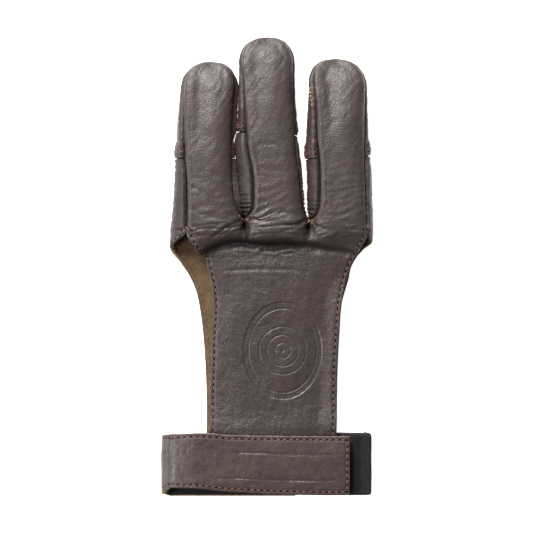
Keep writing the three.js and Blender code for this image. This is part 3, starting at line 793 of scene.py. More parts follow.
# Folds of the back panel: depth and width, then the places that they run through.
FOLDS = (
    (0.7, 0.55, (-10.6, 0.2), (-8.6, 0), (-6.3, -0.5), (-3.6, -0.8), (-1.4, 0.1)),
    (0.85, 0.6, (16, 0.1), (14.4, -0.8), (12.2, -1.8), (9.5, -2.5), (6.3, -2.6), (3.6, -1.9)),
    (0.5, 0.5, (0.9, 3.6), (-1.1, 2.2), (-3.1, 0.9), (-5.8, 0.2)),
    (0.35, 0.45, (3.6, 2), (1.4, 0.9), (-0.4, -0.7), (-3.1, -1.8)),
    (0.35, 0.5, (14.4, -1.6), (12.2, -3.2), (9, -4.1), (5.8, -4.7), (2.7, -5.4)),
    (0.6, 0.6, (-13.1, 0), (-14.8, -1), (-17.1, -2.2), (-20.4, -4), (-24.5, -6.8), (-29, -10.2)),
    (0.4, 0.5, (-14.6, -2.6), (-18, -4.2), (-21.6, -6.6), (-25.4, -9)),
    (0.3, 0.5, (-13.5, 0.7), (-17.1, 1.6), (-20.7, 3.1)),
    (0.5, 0.7, (-12.5, -0.9), (-12.8, -4.1), (-13.1, -7.2), (-13.5, -10.4)),
    (0.5, 0.7, (-11.2, -1.1), (-11, -4.5), (-10.9, -7.7), (-10.8, -10.8)),
    (0.4, 0.7, (16.1, -1.8), (15.8, -5.4), (15.3, -10.4)),
    (0.4, 0.7, (17.8, -1.8), (18.1, -5.9), (18.3, -10.8)),
    (0.45, 0.5, (18, -1.1), (20.2, -2.7), (22.9, -4.1), (26.6, -5)),
    (0.35, 0.5, (18.7, -2.5), (21.2, -4.7), (23.9, -6.3)),
    (0.38, 0.5, (-37.6, 12.8), (-34.6, 13.7), (-31.5, 13), (-28.4, 10.6), (-25.7, 7.6), (-22.9, 4.7),
     (-19.8, 2.2), (-15.8, 0.4)),
    (0.3, 0.5, (-37.6, 5.4), (-34.6, 4), (-30.6, 2), (-26.1, 0.7), (-22.1, 0.2), (-17.6, -0.9)),
    (0.25, 0.55, (-36.5, -1.8), (-32.4, -4.1), (-27.4, -5.6)),
    (0.22, 0.5, (-32.4, 20.5), (-29.2, 20.9), (-26.1, 20.2), (-22.1, 18.4)),
    (0.28, 0.5, (-7.4, 32.2), (-5.4, 33.3), (-2.2, 33.7), (1.4, 33.5), (4.5, 31.9), (6.8, 29.7)),
    (0.3, 0.5, (-7.2, 6.7), (-3.6, 7.6), (0.5, 9.2), (4.5, 11.2), (8.6, 13.9)),
    (0.35, 0.5, (-8.3, 2.7), (-5.4, 3.6), (-2.2, 5.2), (1.4, 6.3)),
    (0.45, 0.5, (2.2, 2.5), (5.4, 3.1), (9.5, 2.9), (13.1, 2)),
    (0.25, 0.5, (22.1, 2.7), (26.6, 1.3), (31.5, 1.8), (36.5, 4)),
    (0.35, 0.45, (-4.5, -13.8), (-1.4, -14.2), (1.8, -14.3), (5, -13.5), (8.1, -13), (11.2, -13.5)),
    (0.28, 0.45, (3.6, -15.1), (6.8, -15.3), (9.9, -15.1)),
    (0.3, 0.5, (-17.6, -12.6), (-14, -12.3), (-9.4, -13.1), (-5.8, -13.3)),
    (0.2, 0.6, (-22.1, -23), (-14, -22.3), (-4, -22.1), (8.6, -22.5), (19.8, -23.9)),
)


def folded(points, places):
    """Distance of the points from a line through places, and how far along it they stand."""
    places = np.array(places, float)
    before = travelled(places)
    away = np.full(len(points), NOWHERE)
    along = np.zeros(len(points))
    for k, step in enumerate(np.diff(before)):
        run = places[k + 1] - places[k]
        share = np.clip(((points[:, :2] - places[k]) @ run) / step ** 2, 0, 1)
        distance = np.linalg.norm(points[:, :2] - places[k] - share[:, None] * run, axis=1)
        nearer = distance < away
        away = np.where(nearer, distance, away)
        along = np.where(nearer, (before[k] + share * step) / before[-1], along)
    return away, along


def fold_relief(points):
    """The folds with the leather pushed up beside them, and how deep they are."""
    relief, deep = np.zeros(len(points)), np.zeros(len(points))
    for depth, width, *places in FOLDS:
        away, along = folded(points, places)
        strength = FOLD_DEPTH * depth * ease(1.02, 0.6, along) * ease(-0.08, 0.08, along)
        width = FOLD_WIDTH * width
        valley = strength * bell(away, width)
        relief += 0.35 * strength * bell(away - 2.1 * width, 1.2 * width) - valley
        deep += valley
    return relief, deep


def back_relief(points, marks, sizes):
    """The back panel: folds, creases, turned seams, the curl of its margin and the ornament, with painted shade
    in them, under the knuckle roll and over the tongue.
    """
    zone, reach, left, right = (marks[key] for key in MARKS)
    x, y = points[:, 0], points[:, 1]
    edge = np.minimum(left, right)
    across = left / np.maximum(left + right, 0.1)
    fingers = ease(-3, 1, reach)
    hand = 1 - fingers
    tongue = ease(-11, -14, reach)
    level = creased(points, *LEVEL_CREASES) * ease(34, 16, reach) * ease(-11, -6, reach)
    steep = creased(points, *STEEP_CREASES)
    steep *= ease(20, 34, reach) * ease(-0.3, 0.15, soft_noise(points, (14, 16, 30), 9.2))
    lines = sizes.crease_depth / MM * (0.8 * level + 0.5 * steep)
    lines += 0.06 * tongue * creased(points, *TONGUE_CREASES)
    folds, deep = fold_relief(points)
    lengths = [finger["length"] for finger in FINGERS]
    far = reach / by_finger(zone, lengths, lengths[-1])
    dent = TIP_DENT * bell(across - 0.3, 0.12) * ease(0.4, 0.62, far) * ease(0.99, 0.85, far)
    sag = TIP_SAG * ease(0.6, 0.99, far) * ease(0, 8, edge)
    roll = bell(edge, SEAM_ROLL)
    rim = 0.25 * bell(left - 2.2, 0.8) - 0.2 * bell(edge, 1.6) - sag - sizes.seam_depth / MM * roll
    groove = stitch_groove(edge, 0.22, sizes) * ease(-3, -6, reach)
    rounded = 0.3 * bell(edge, 0.5) * hand
    curled = MARGIN_CURL * ease(9, 0, right) * ease(-22, -40, reach) * ease(-100, -88, reach)
    below = read(VALLEY, x, "level") - y
    eased = (0.4 * bell(below - 3, 3) - 0.8 * bell(below + 2.5, 3)) * ease(8, 26, x)
    eased *= hand * ease(0, 4, edge)
    pressed = pressed_plate(points, sizes)
    relief = noises(points, BACK_WAVES) + noises(points, BACK_PEBBLES) * (1 - pressed)
    relief += folds + curled + eased + rim * fingers
    relief -= lines + dent + groove + rounded + pressed
    # Painted shadow under the knuckle roll, fading to the right, then painted shade over the tongue, deeper
    # towards its lower end.
    shade = 1.1 * bell(below - 1.3, 3.2) * ease(32, 0, x)
    shade *= 0.75 + 0.6 * soft_noise(points, (7, 5, 9), 17.3)
    shade += 0.16 * tongue + 0.14 * ease(-74, -90, y)
    # Painted shade in the folds, creases, seam rolls, tip dent and stitch groove.
    painted_shade = 0.7 * deep + 0.6 * lines + roll * fingers + shade + 0.25 * dent + 0.5 * groove
    return relief, np.clip(painted_shade, 0, 1), 0.05 + 0.95 * fingers


# The ornament pressed into the tongue: an oval frame round a target, places and sizes in
# millimetres.
PLATE_CENTRE = (4.9, -58.5)
PLATE_HALF = (17.4, 21.5)
FRAME_INSET = 2.2
TARGET_RINGS = (3.4, 7, 10.6)
LINE_WIDTH = 1.1


def pressed_plate(points, sizes):
    """How far the oval plate is pressed in."""
    x = (points[:, 0] - PLATE_CENTRE[0]) / PLATE_HALF[0]
    y = (points[:, 1] - PLATE_CENTRE[1]) / PLATE_HALF[1]
    return 0.6 * ease(1.03, 0.96, np.hypot(x, y)) * sizes.emboss_depth / MM


def palm_relief(points, marks, sizes):
    """The palm panel: side strips gathered at the crotches and pressed in under the caps."""
    zone, reach, left, right = (marks[key] for key in MARKS)
    edge = np.minimum(left, right)
    facing = np.where(zone < 0.5, right, left)
    fingers = ease(-3, 1, reach)
    up = off_surface(points)
    soft = noises(points, PALM_WAVES) * up
    creases = sizes.crease_depth / MM * creased(points, *PALM_CREASES) * up
    creases *= 0.4 + 0.7 * fingers * ease(34, 20, reach)
    inner = (facing < 12) | ((zone >= 0.5) & (zone < 1.5))
    beat = np.cos(2 * math.pi * (reach + 0.5 * soft_noise(points, (3, 3, 3), 8.8)) / GATHER_PITCH)
    gathered = np.minimum(ease(10, 5, reach) + 0.4 * ease(27, 14, reach) * (zone == 1), 1)
    gathers = 0.45 * (1 - beat) * inner * fingers * gathered * ease(0.3, 2, edge)
    roll = bell(edge, SEAM_ROLL) * fingers
    band = by_finger(zone, (band_share(finger) * finger["length"] for finger in FINGERS), NOWHERE)
    swell = by_finger(zone, (1.4, 0.5, 0), 0) * ease(0, 2.5, facing) * ease(16, 9, facing)
    swell *= ease(0, 3, reach) * ease(band - 0.3, band - 2.5, reach)
    swell -= MIDDLE_TIGHT * (zone == 1) * ease(band - 5, band - 1, reach)
    swell += 1.5 * up * ease(band - PRESS_RUN, band - GAP, reach) * ease(band - 0.1, band - 1, reach)
    groove = stitch_groove(edge, 0.2, sizes) * ease(-3, -6, reach)
    rounded = 0.25 * bell(edge, 0.5) * (1 - fingers) * up
    relief = soft + swell + seam_form(edge, sizes) * fingers - creases - gathers - groove - rounded
    covered = ease(band + 0.9, band + 2, reach)
    relief = mix(relief, -0.25 - MIDDLE_TIGHT * (zone == 1), covered)
    # Painted shade in the creases, gathers and seam rolls.
    return relief, np.clip(creases + gathers + roll, 0, 1), 0.5 * fingers


def cap_relief(points, marks, sizes):
    """A tip cap: its sewn band, and the index finger's wall that leans on the middle finger."""
    zone, from_band, left, right = (marks[key] for key in MARKS)
    edge = np.minimum(left, right)
    up = off_surface(points)
    soft = noises(points, CAP_WAVES) * up
    creases = 0.5 * sizes.crease_depth / MM * creased(points, *CAP_CREASES) * up
    roll = bell(edge, SEAM_ROLL)
    groove = sum(0.25 * bell(from_band - row, 0.5) for row in BAND_STITCHES)
    rounded = 0.3 * bell(from_band, 0.4) * up
    swell = 1.5 * (zone < 0.5) * ease(0, 2.5, right) * ease(16, 9, right)
    swell *= ease(7, 13, from_band) * ease(38, 29, from_band)
    swell -= MIDDLE_TIGHT * (zone == 1) * ease(9, 5, from_band)
    relief = soft + swell + seam_form(edge, sizes) - creases - groove * up - rounded
    # Painted shade in the creases, seam rolls and band stitch grooves.
    return relief, np.clip(creases + roll + groove, 0, 1), 0.4 + 0 * edge


def fold_drop(points):
    """How far the front of the strap slopes down to its fold."""
    x = points[:, 0]
    run = np.clip((-4 - x) / 42, 0, 1)
    return (1.2 * run ** 2.4 + 1.2 * ease(-33, -46, x)) * ease(3, 11, points[:, 2])


def strap_relief(points, marks, sizes):
    """The strap: soft waves, a slight crown and two fine lines along its front."""
    _, front, left, right = (marks[key] for key in MARKS)
    edge = np.minimum(left, right)
    raised = ease(0.5, 3, points[:, 2])
    soft = noises(points, STRAP_WAVES) * raised
    pebbles = noises(points, STRAP_PEBBLES) * np.maximum(raised, 0.3)
    across = points[:, 1] + STRAP_TOP + 0.5 * np.sin(points[:, 0] / 13)
    lines = sum(
        0.25 * bell(across + place, 0.35) * ease(start, start + 0.15, front) * ease(end, end - 0.07, front)
        for place, start, end in STRAP_LINES
    )
    end = (1 - front) * (STRAP_FRONT_END + STRAP_FOLD - WRIST_HEIGHT / 2)
    row = np.minimum(edge, np.where(front > 0, end, NOWHERE))
    groove = stitch_groove(row, 0.22, sizes)
    rounded = 0.35 * bell(row, 0.5) * raised
    crown = 0.2 * (1 - (np.abs(edge - STRAP_WIDTH / 2) / (STRAP_WIDTH / 2)) ** 2) * raised
    relief = soft + pebbles + crown - lines - groove - rounded - fold_drop(points)
    # Painted shade in the stitch grooves and the fine lines.
    return relief, np.clip(groove * 0.6 + lines * 0.5, 0, 1), 0.1 + 0 * edge


def lining_relief(points, marks, sizes):
    """The lining: small tufts on a layer that lies a little off the strap."""
    flat = np.zeros(len(points))
    return noises(points, LINING_TUFTS) - LINING_SLACK - fold_drop(points), flat, flat


def elastic_relief(points, marks, sizes):
    """A fine twill of ribs over the elastic, with soft selvedges."""
    _, along, run, right = (marks[key] for key in MARKS)
    edge = np.minimum(run, right)
    twill = 2 * math.pi * MM / sizes.rib
    ribs = np.sin(twill * (run + along)) * np.sin(twill * (run - along))
    raised = ease(0.3, 2, points[:, 2])
    wave = noises(points, ELASTIC_WAVES)
    tucked = 0.3 * ease(34, 31, points[:, 0])
    relief = 0.18 * ribs + (wave - 0.35 * bell(edge, 0.7) - tucked) * raised
    relief = np.where(raised > 0, relief, np.minimum(relief, 0))
    # The second value is painted shade between the ribs; their crowns stay lighter as a painted highlight.
    return relief, np.clip(0.5 - 0.5 * ribs, 0, 1), 0 * edge


# Meshes.

def choose(*pieces):
    """Selects these pieces alone, and makes the first one active."""
    bpy.ops.object.select_all(action="DESELECT")
    for piece in pieces:
        piece.select_set(True)
    bpy.context.view_layer.objects.active = pieces[0]


def read_out(values, name, width):
    """The numbers of a mesh's collection, one row for each item."""
    flat = np.empty(len(values) * width)
    values.foreach_get(name, flat)
    return flat.reshape(-1, width)


def sheet(name, points, marks, turned_over):
    """A grid that is drawn into the shape of the points, with its marks as attributes."""
    rows, columns = points.shape[0] - 1, points.shape[1] - 1
    bpy.ops.object.select_all(action="DESELECT")
    bpy.ops.mesh.primitive_grid_add(x_subdivisions=columns, y_subdivisions=rows, size=1)
    piece = bpy.context.object
    piece.name = piece.data.name = name
    mesh = piece.data
    flat = read_out(mesh.vertices, "co", 3) + 0.5
    column = np.rint(flat[:, 0] * columns).astype(int)
    row = np.rint(flat[:, 1] * rows).astype(int)
    if turned_over:
        column = columns - column
    mesh.vertices.foreach_set("co", ((points[row, column] + SHIFT) * MM).ravel())
    for key, values in marks.items():
        mesh.attributes.new(key, "FLOAT", "POINT").data.foreach_set("value", values[row, column].copy())
    mesh.update()
    return piece


def unite(pieces, name):
    """One mesh from several, with the points that meet merged."""
    choose(*pieces)
    if len(pieces) > 1:
        bpy.ops.object.join()
    whole = bpy.context.view_layer.objects.active
    whole.name = whole.data.name = name
    bpy.ops.object.mode_set(mode="EDIT")
    bpy.ops.mesh.select_all(action="SELECT")
    bpy.ops.mesh.remove_doubles(threshold=MERGE)
    bpy.ops.object.mode_set(mode="OBJECT")
    return whole


def emboss_relief(piece, relief_of, sizes):
    """Moves every point of a piece along its normal by the relief, and keeps its painted shade."""
    mesh = piece.data
    places = read_out(mesh.vertices, "co", 3)
    normals = read_out(mesh.vertex_normals, "vector", 3)
    marks = {key: read_out(mesh.attributes[key].data, "value", 1)[:, 0] for key in MARKS}
    relief, painted_shade, drawn = relief_of(places / MM - SHIFT, marks, sizes)
    moved = places + normals * relief[:, None] * MM
    moved[:, 2] = np.maximum(moved[:, 2], np.minimum(places[:, 2], RESTING))
    mesh.vertices.foreach_set("co", moved.ravel())
    # The painted shade of folds, creases, seams and grooves is stored in the attribute fold.
    for key, values in (("fold", painted_shade), ("drawn", drawn)):
        mesh.attributes.new(key, "FLOAT", "POINT").data.foreach_set("value", values)
    for key in MARKS:
        mesh.attributes.remove(mesh.attributes[key])
    mesh.update()


def raw_rim(piece, behind):
    """The border points behind a place, and how far each moves in so that the raw edge shows."""
    mesh = bmesh.new()
    mesh.from_mesh(piece.data)
    moves = []
    for point in mesh.verts:
        if point.is_boundary and point.co.y < behind:
            inner = [edge.other_vert(point).co for edge in point.link_edges if not edge.is_boundary]
            if inner:
                run = sum(inner, Vector()) / len(inner) - point.co
                moves.append((point.index, run.normalized() * min(RAW_EDGE * MM, 0.75 * run.length)))
    mesh.free()
    return moves


def give_wall(piece, wall, materials, raw_behind):
    """Thickness inwards, with materials for the outside, the inside and the cut edge."""
    for material in materials:
        piece.data.materials.append(material)
    choose(piece)
    count = len(piece.data.vertices)
    moves = [] if raw_behind is None else raw_rim(piece, (raw_behind + SHIFT[1]) * MM)
    solid = piece.modifiers.new("Wall", "SOLIDIFY")
    solid.thickness = wall * MM
    solid.offset = -1
    solid.use_rim = True
    solid.material_offset = 1
    solid.material_offset_rim = 2
    bpy.ops.object.modifier_apply(modifier=solid.name)
    for index, move in moves:
        piece.data.vertices[index].co += move
        piece.data.vertices[index + count].co -= 0.6 * move
    bpy.ops.object.shade_smooth_by_angle(angle=SMOOTH_ANGLE)


def finish(piece, nodes):
    """Says which body a piece goes with, and hides the solids that it stands for."""
    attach(piece, "root")
    if nodes:
        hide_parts(*nodes)


def make_piece(name, grids, relief_of, sizes, wall, materials, node, turned_over=True, raw_behind=None):
    """One piece from its grids, each given as its points, its zone and its reach."""
    parts = [sheet(name, points, marks_of(points, zone, reach), turned_over) for points, zone, reach in grids]
    piece = unite(parts, name)
    emboss_relief(piece, relief_of, sizes)
    give_wall(piece, wall, materials, raw_behind)
    finish(piece, (node,))


# Stitching.

def grid_normal(points):
    """Directions outwards from a grid."""
    return unit(np.cross(np.gradient(points, axis=1), np.gradient(points, axis=0)))


def line_at(points, run):
    """The line at a distance from a grid's left edge, with the grid's normals there."""
    left, _ = runs(points)
    return [
        np.array([sampled(run, at, row) for at, row in zip(left, values)])
        for values in (points, grid_normal(points))
    ]


def stepped(line, out, pitch):
    """Even steps along a line."""
    run = travelled(line)
    at = np.linspace(0, run[-1], max(2, int(round(run[-1] / pitch)) + 1))
    return sampled(at, run, line), sampled(at, run, out)


def on_surface(piece, places, out):
    """The places moved onto a piece's surface, with the surface's normals."""
    tree = BVHTree.FromObject(piece, bpy.context.evaluated_depsgraph_get())
    found, normals = [], []
    for place, direction in zip(places, out):
        start = Vector((place + SHIFT + direction * 3.2) * MM)
        hit, normal, _, _ = tree.ray_cast(start, Vector(-direction), 0.008)
        if hit is None:
            hit, normal, _, _ = tree.find_nearest(start)
        found.append(hit)
        normals.append(-normal if normal.dot(Vector(direction)) < 0 else normal)
    return found, normals


def template(segments, rings, arch=0.0):
    """A small rounded body of unit size, as points and faces. An arch bends it down at its ends."""
    bpy.ops.object.select_all(action="DESELECT")
    bpy.ops.mesh.primitive_uv_sphere_add(segments=segments, ring_count=rings, radius=0.5)
    ball = bpy.context.object
    points = read_out(ball.data.vertices, "co", 3)
    faces = [tuple(face.vertices) for face in ball.data.polygons]
    bpy.data.objects.remove(ball, do_unlink=True)
    points[:, 2] -= arch * points[:, 0] ** 2
    return points, faces


def copies(name, shape, frames, material):
    """One mesh of many copies of a shape, each in its own frame of origin and three axes."""
    points, faces = shape
    bodies, all_faces = [], []
    for k, (origin, axes) in enumerate(frame for frame in frames if frame[0][2] > FLUSH):
        bodies.append(points @ axes + origin)
        all_faces += [tuple(corner + k * len(points) for corner in face) for face in faces]
    mesh = bpy.data.meshes.new(name)
    mesh.from_pydata(np.concatenate(bodies).tolist(), [], all_faces)
    mesh.materials.append(material)
    piece = bpy.data.objects.new(name, mesh)
    bpy.context.scene.collection.objects.link(piece)
    choose(piece)
    bpy.ops.object.shade_smooth()
    return piece


def frame_of(centre, along, up, size, sink):
    """Origin and axes of a body that lies along a line on a surface, sunk a little into it."""
    along = (along - up * along.dot(up)).normalized()
    axes = np.array([np.array(axis) * part for axis, part in zip((along, up.cross(along), up), size)])
    return np.array(centre - up * sink), axes


def stitch(start, end, up, size, rise):
    """The frame of a thread between two places."""
    return frame_of((start + end) / 2, end - start, up, size, -rise)


def sew(piece, line, out, sizes, threads, holes):
    """Adds the stitches of one line that lies on a piece: at each step a near-black patch of painted shade for
    the needle hole, thread between.
    """
    places, normals = on_surface(piece, *stepped(line, out, sizes.stitch_pitch / MM))
    width, hole = sizes.thread_width, sizes.hole_width
    for k, (place, normal) in enumerate(zip(places, normals)):
        ahead = places[min(k + 1, len(places) - 1)] - places[max(k - 1, 0)]
        slanted = ahead + normal.cross(ahead) * HOLE_SLANT
        holes.append(frame_of(place, slanted, normal, (hole * 1.75, hole, 0.00025), HOLE_SINK))
        if k + 1 < len(places):
            following = places[k + 1]
            size = ((following - place).length - hole * 1.3, width, width * 1.15)
            threads.append(stitch(place, following, (normal + normals[k + 1]).normalized(), size, 0.00003))


def cross_stitch(piece, rows, sizes, threads, holes):
    """Sews two rows with crossed threads between them, and a near-black patch of painted shade at each needle
    hole.
    """
    found = [on_surface(piece, *stepped(line, out, BAND_PITCH)) for line, out in rows]
    count = min(len(places) for places, _ in found)
    hole, width = sizes.hole_width, sizes.thread_width
    for k in range(count):
        for places, normals in found:
            ahead = places[min(k + 1, count - 1)] - places[max(k - 1, 0)]
            holes.append(frame_of(places[k], ahead, normals[k], (hole * 1.2, hole, 0.0002), HOLE_SINK))
        if k + 1 == count:
            continue
        for first, second in ((0, 1), (1, 0), (0, 0), (1, 1)):
            start, end = found[first][0][k], found[second][0][k + 1]
            up = (found[first][1][k] + found[second][1][k + 1]).normalized()
            size = ((end - start).length - hole * 0.9, 0.75 * width, width)
            threads.append(stitch(start, end, up, size, 0.0001))


def tack(pieces, tacks, sizes, threads):
    """Adds single stitches that lie on top of the pieces."""
    depsgraph = bpy.context.evaluated_depsgraph_get()
    trees = [BVHTree.FromObject(piece, depsgraph) for piece in pieces]
    for ends in tacks:
        found = []
        for x, y in ends:
            start = Vector((np.array((x, y, 30)) + SHIFT) * MM)
            hits = [tree.ray_cast(start, Vector((0, 0, -1))) for tree in trees]
            hits = [hit for hit in hits if hit[0] is not None]
            found += [max(hits, key=lambda hit: hit[0].z)] if hits else []
        if len(found) == 2:
            start, end = found[0][0], found[1][0]
            up = (found[0][1] + found[1][1] + Vector((0, 0, 0.5))).normalized()
            size = ((end - start).length * 1.15, sizes.thread_width * 1.1, sizes.thread_width * 1.6)
            threads.append(stitch(start, end, up, size, 0.0001))


# Tack stitches: start and end, seen from above, in millimetres.
RED_TACKS = (
    ((-14.6, 2), (-13.7, 0.2)),
    ((-13.3, 0.6), (-12.5, -0.9)),
    ((-11.3, 0.4), (-10.6, -0.6)),
    ((-10.4, 0.9), (-9.8, 0)),
    ((-37.9, -3.3), (-37.1, -5.1)),
    ((-39.2, -5), (-38.3, -4.3)),
    ((42.6, -2.6), (42.9, -4.2)),
    ((43.4, -2.9), (43.9, -4.3)),
)
ORANGE_TACKS = (
    ((15.4, 1.2), (15.7, 0.5)),
    ((16.7, -0.2), (16.9, -1.4)),
    ((17.9, -0.9), (18.4, -2)),
)
PALE_TACKS = (
    ((17.1, 59), (17.2, 57.7)),
    ((17.2, 57.2), (17.3, 55.9)),
    ((17.4, 55.4), (17.5, 54.1)),
    ((17.6, 53.6), (17.7, 52.3)),
    ((17.9, 51.6), (18.1, 50.4)),
)


# Finishes.

# Wrinkles of the drawn leather: degrees about Z, width and length in metres, and weight.
WRINKLES = ((58, 0.0011, 0.0055, 0.2), (-50, 0.0011, 0.003, 0.12), (10, 0.0014, 0.006, 0.12))


def link(tree, start, end):
    tree.links.new(start, end)


def feed(tree, value, socket):
    """Gives a socket its value, which is a number, a colour or another node's socket."""
    if isinstance(value, bpy.types.NodeSocket):
        link(tree, value, socket)
    else:
        socket.default_value = value


def maths(tree, operation, first, second=None, clamp=False):
    node = tree.nodes.new("ShaderNodeMath")
    node.operation = operation
    node.use_clamp = clamp
    feed(tree, first, node.inputs[0])
    if second is not None:
        feed(tree, second, node.inputs[1])
    return node.outputs[0]


def weighed(tree, *terms, clamp=False):
    """The sum of values, each times its weight."""
    total = None
    for value, weight in terms:
        term = maths(tree, "MULTIPLY", value, weight)
        total = term if total is None else maths(tree, "ADD", total, term, clamp)
    return total


def vector_maths(tree, operation, *values):
    node = tree.nodes.new("ShaderNodeVectorMath")
    node.operation = operation
    for value, socket in zip(values, node.inputs):
        feed(tree, value, socket)
    return node.outputs["Value" if operation == "LENGTH" else "Vector"]


def ranged(tree, value, low, high, out_low=0.0, out_high=1.0):
    node = tree.nodes.new("ShaderNodeMapRange")
    node.interpolation_type = "SMOOTHSTEP"
    link(tree, value, node.inputs["Value"])
    for socket, number in (("From Min", low), ("From Max", high), ("To Min", out_low), ("To Max", out_high)):
        node.inputs[socket].default_value = number
    return node.outputs["Result"]


def noise_node(tree, vector, scale, detail, rough=0.55):
    node = tree.nodes.new("ShaderNodeTexNoise")
    for socket, value in (("Vector", vector), ("Scale", scale), ("Detail", detail), ("Roughness", rough)):
        feed(tree, value, node.inputs[socket])
    return node


def cells_node(tree, vector, scale, feature="F1"):
    node = tree.nodes.new("ShaderNodeTexVoronoi")
    node.feature = feature
    feed(tree, vector, node.inputs["Vector"])
    feed(tree, scale, node.inputs["Scale"])
    return node.outputs["Distance"]


def blended(tree, share, first, second):
    node = tree.nodes.new("ShaderNodeMix")
    node.data_type = "RGBA"
    link(tree, share, node.inputs["Factor"])
    for socket, value in ((node.inputs[6], first), (node.inputs[7], second)):
        feed(tree, value if isinstance(value, bpy.types.NodeSocket) else (*value, 1), socket)
    return node.outputs[2]


def grain_effect(group, vector, pebbles):
    """Pebbled leather grain: its height and the tone of its high and low places."""
    bend = noise_node(group, vector, maths(group, "MULTIPLY", pebbles, 0.7), 2.0)
    bent = vector_maths(group, "MULTIPLY_ADD", bend.outputs["Color"], (0.0009, 0.0009, 0.0009), vector)
    cells = cells_node(group, bent, pebbles, "DISTANCE_TO_EDGE")
    small = cells_node(group, bent, maths(group, "MULTIPLY", pebbles, 2.3))
    patch = noise_node(group, vector, maths(group, "MULTIPLY", pebbles, 0.5), 2.0, 0.5).outputs["Fac"]
    broad = noise_node(group, vector, maths(group, "MULTIPLY", pebbles, 0.05), 3.0, 0.6).outputs["Fac"]
    pebble = ranged(group, cells, 0.0, 0.28)
    knob = maths(group, "SUBTRACT", 1.0, small)
    height = weighed(group, (pebble, 0.45), (knob, 0.12), (patch, 0.9))
    patches, places = ranged(group, patch, 0.35, 0.7), ranged(group, broad, 0.35, 0.68)
    return height, weighed(group, (patches, 0.45), (pebble, 0.2), (places, 0.4))


def ornament_effect(group, vector):
    """Lines of the pressed ornament: how deep they are."""
    total = 0.0
    centre = (np.array((*PLATE_CENTRE, 0)) + SHIFT) * MM
    place = vector_maths(group, "SUBTRACT", vector, centre)
    half = PLATE_HALF[0]
    for high, lines in ((PLATE_HALF[1] / half, (half, half - FRAME_INSET)), (1, (0, *TARGET_RINGS))):
        flat = vector_maths(group, "MULTIPLY", place, (1 / MM, 1 / MM / high, 0))
        away = vector_maths(group, "LENGTH", flat)
        for line in lines:
            distance = maths(group, "ABSOLUTE", maths(group, "SUBTRACT", away, float(line)))
            width = LINE_WIDTH / 2 if line else LINE_WIDTH
            total = maths(group, "ADD", total, ranged(group, distance, width * 0.35, width, 1.0, 0.0))
    return (total,)


def drawn_effect(group, vector):
    """Fine wrinkles of drawn leather that run steeply across the fingers: their height."""
    total = 0.0
    for degrees, across, along, weight in WRINKLES:
        turn = group.nodes.new("ShaderNodeMapping")
        link(group, vector, turn.inputs["Vector"])
        turn.vector_type = "TEXTURE"
        turn.inputs["Rotation"].default_value = (0, 0, math.radians(degrees))
        turn.inputs["Scale"].default_value = (along, across, across * 2)
        wave = noise_node(group, turn.outputs["Vector"], 1.0, 1.5, 0.5).outputs["Fac"]
        total = maths(group, "ADD", total, maths(group, "MULTIPLY", ranged(group, wave, 0.36, 0.62), weight))
    return (total,)


# Effects that finishes share: what makes them, what they ask for after the place, what they put out.
EFFECTS = {
    "Leather grain": (grain_effect, ("Pebbles per metre",), ("Height", "Tone")),
    "Pressed ornament": (ornament_effect, (), ("Depth",)),
    "Drawn wrinkles": (drawn_effect, (), ("Height",)),
}


def effect(tree, name, where):
    """A node of a shared effect. Its group is built the first time."""
    group = bpy.data.node_groups.get(name)
    if group is None:
        maker, asked, put = EFFECTS[name]
        group = bpy.data.node_groups.new(name, "ShaderNodeTree")
        group.interface.new_socket(name="Vector", in_out="INPUT", socket_type="NodeSocketVector")
        for socket in asked:
            group.interface.new_socket(name=socket, in_out="INPUT", socket_type="NodeSocketFloat")
        for socket in put:
            group.interface.new_socket(name=socket, in_out="OUTPUT", socket_type="NodeSocketFloat")
        given = group.nodes.new("NodeGroupInput").outputs
        results = maker(group, *[given[socket] for socket in ("Vector", *asked)])
        outputs = group.nodes.new("NodeGroupOutput").inputs
        for socket, result in zip(put, results):
            link(group, result, outputs[socket])
    node = tree.nodes.new("ShaderNodeGroup")
    node.node_tree = group
    link(tree, where, node.inputs["Vector"])
    return node


def attribute(tree, name):
    node = tree.nodes.new("ShaderNodeAttribute")
    node.attribute_name = name
    return node.outputs["Fac"]


def material_of(name, **constants):
    """A new material, with the constants of its shader."""
    material = bpy.data.materials.new(name)
    material.use_nodes = True
    tree = material.node_tree
    shader = tree.nodes["Principled BSDF"]
    for socket, value in constants.items():
        shader.inputs[socket.replace("_", " ")].default_value = value
    where = tree.nodes.new("ShaderNodeTexCoord").outputs["Object"]
    return material, tree, shader, where


def tint(tree, shader, share, low, high):
    link(tree, blended(tree, share, low, high), shader.inputs["Base Color"])


def bump(tree, shader, height, strength, distance):
    node = tree.nodes.new("ShaderNodeBump")
    node.inputs["Strength"].default_value = strength
    node.inputs["Distance"].default_value = distance
    link(tree, height, node.inputs["Height"])
    link(tree, node.outputs["Normal"], shader.inputs["Normal"])


def times(shade, factor):
    return tuple(min(1.0, factor * part) for part in shade)


# Grain sides: size of a pebble as a share of the usual one, roughness, shade, and whether the
# ornament is pressed into it. The shade is painted light: it makes the palm strips and the caps
# darker and the strap lighter, standing in for how the light falls on them.
GRAINS = {
    "back_grain": (1, 0.36, (1, 1, 1), True),
    "palm_grain": (1, 0.49, (0.72, 0.62, 0.6), False),
    "cap_grain": (0.9, 0.44, (0.95, 0.78, 0.76), False),
    "strap_grain": (0.9, 0.33, (1.4, 1.4, 1.4), False),
}


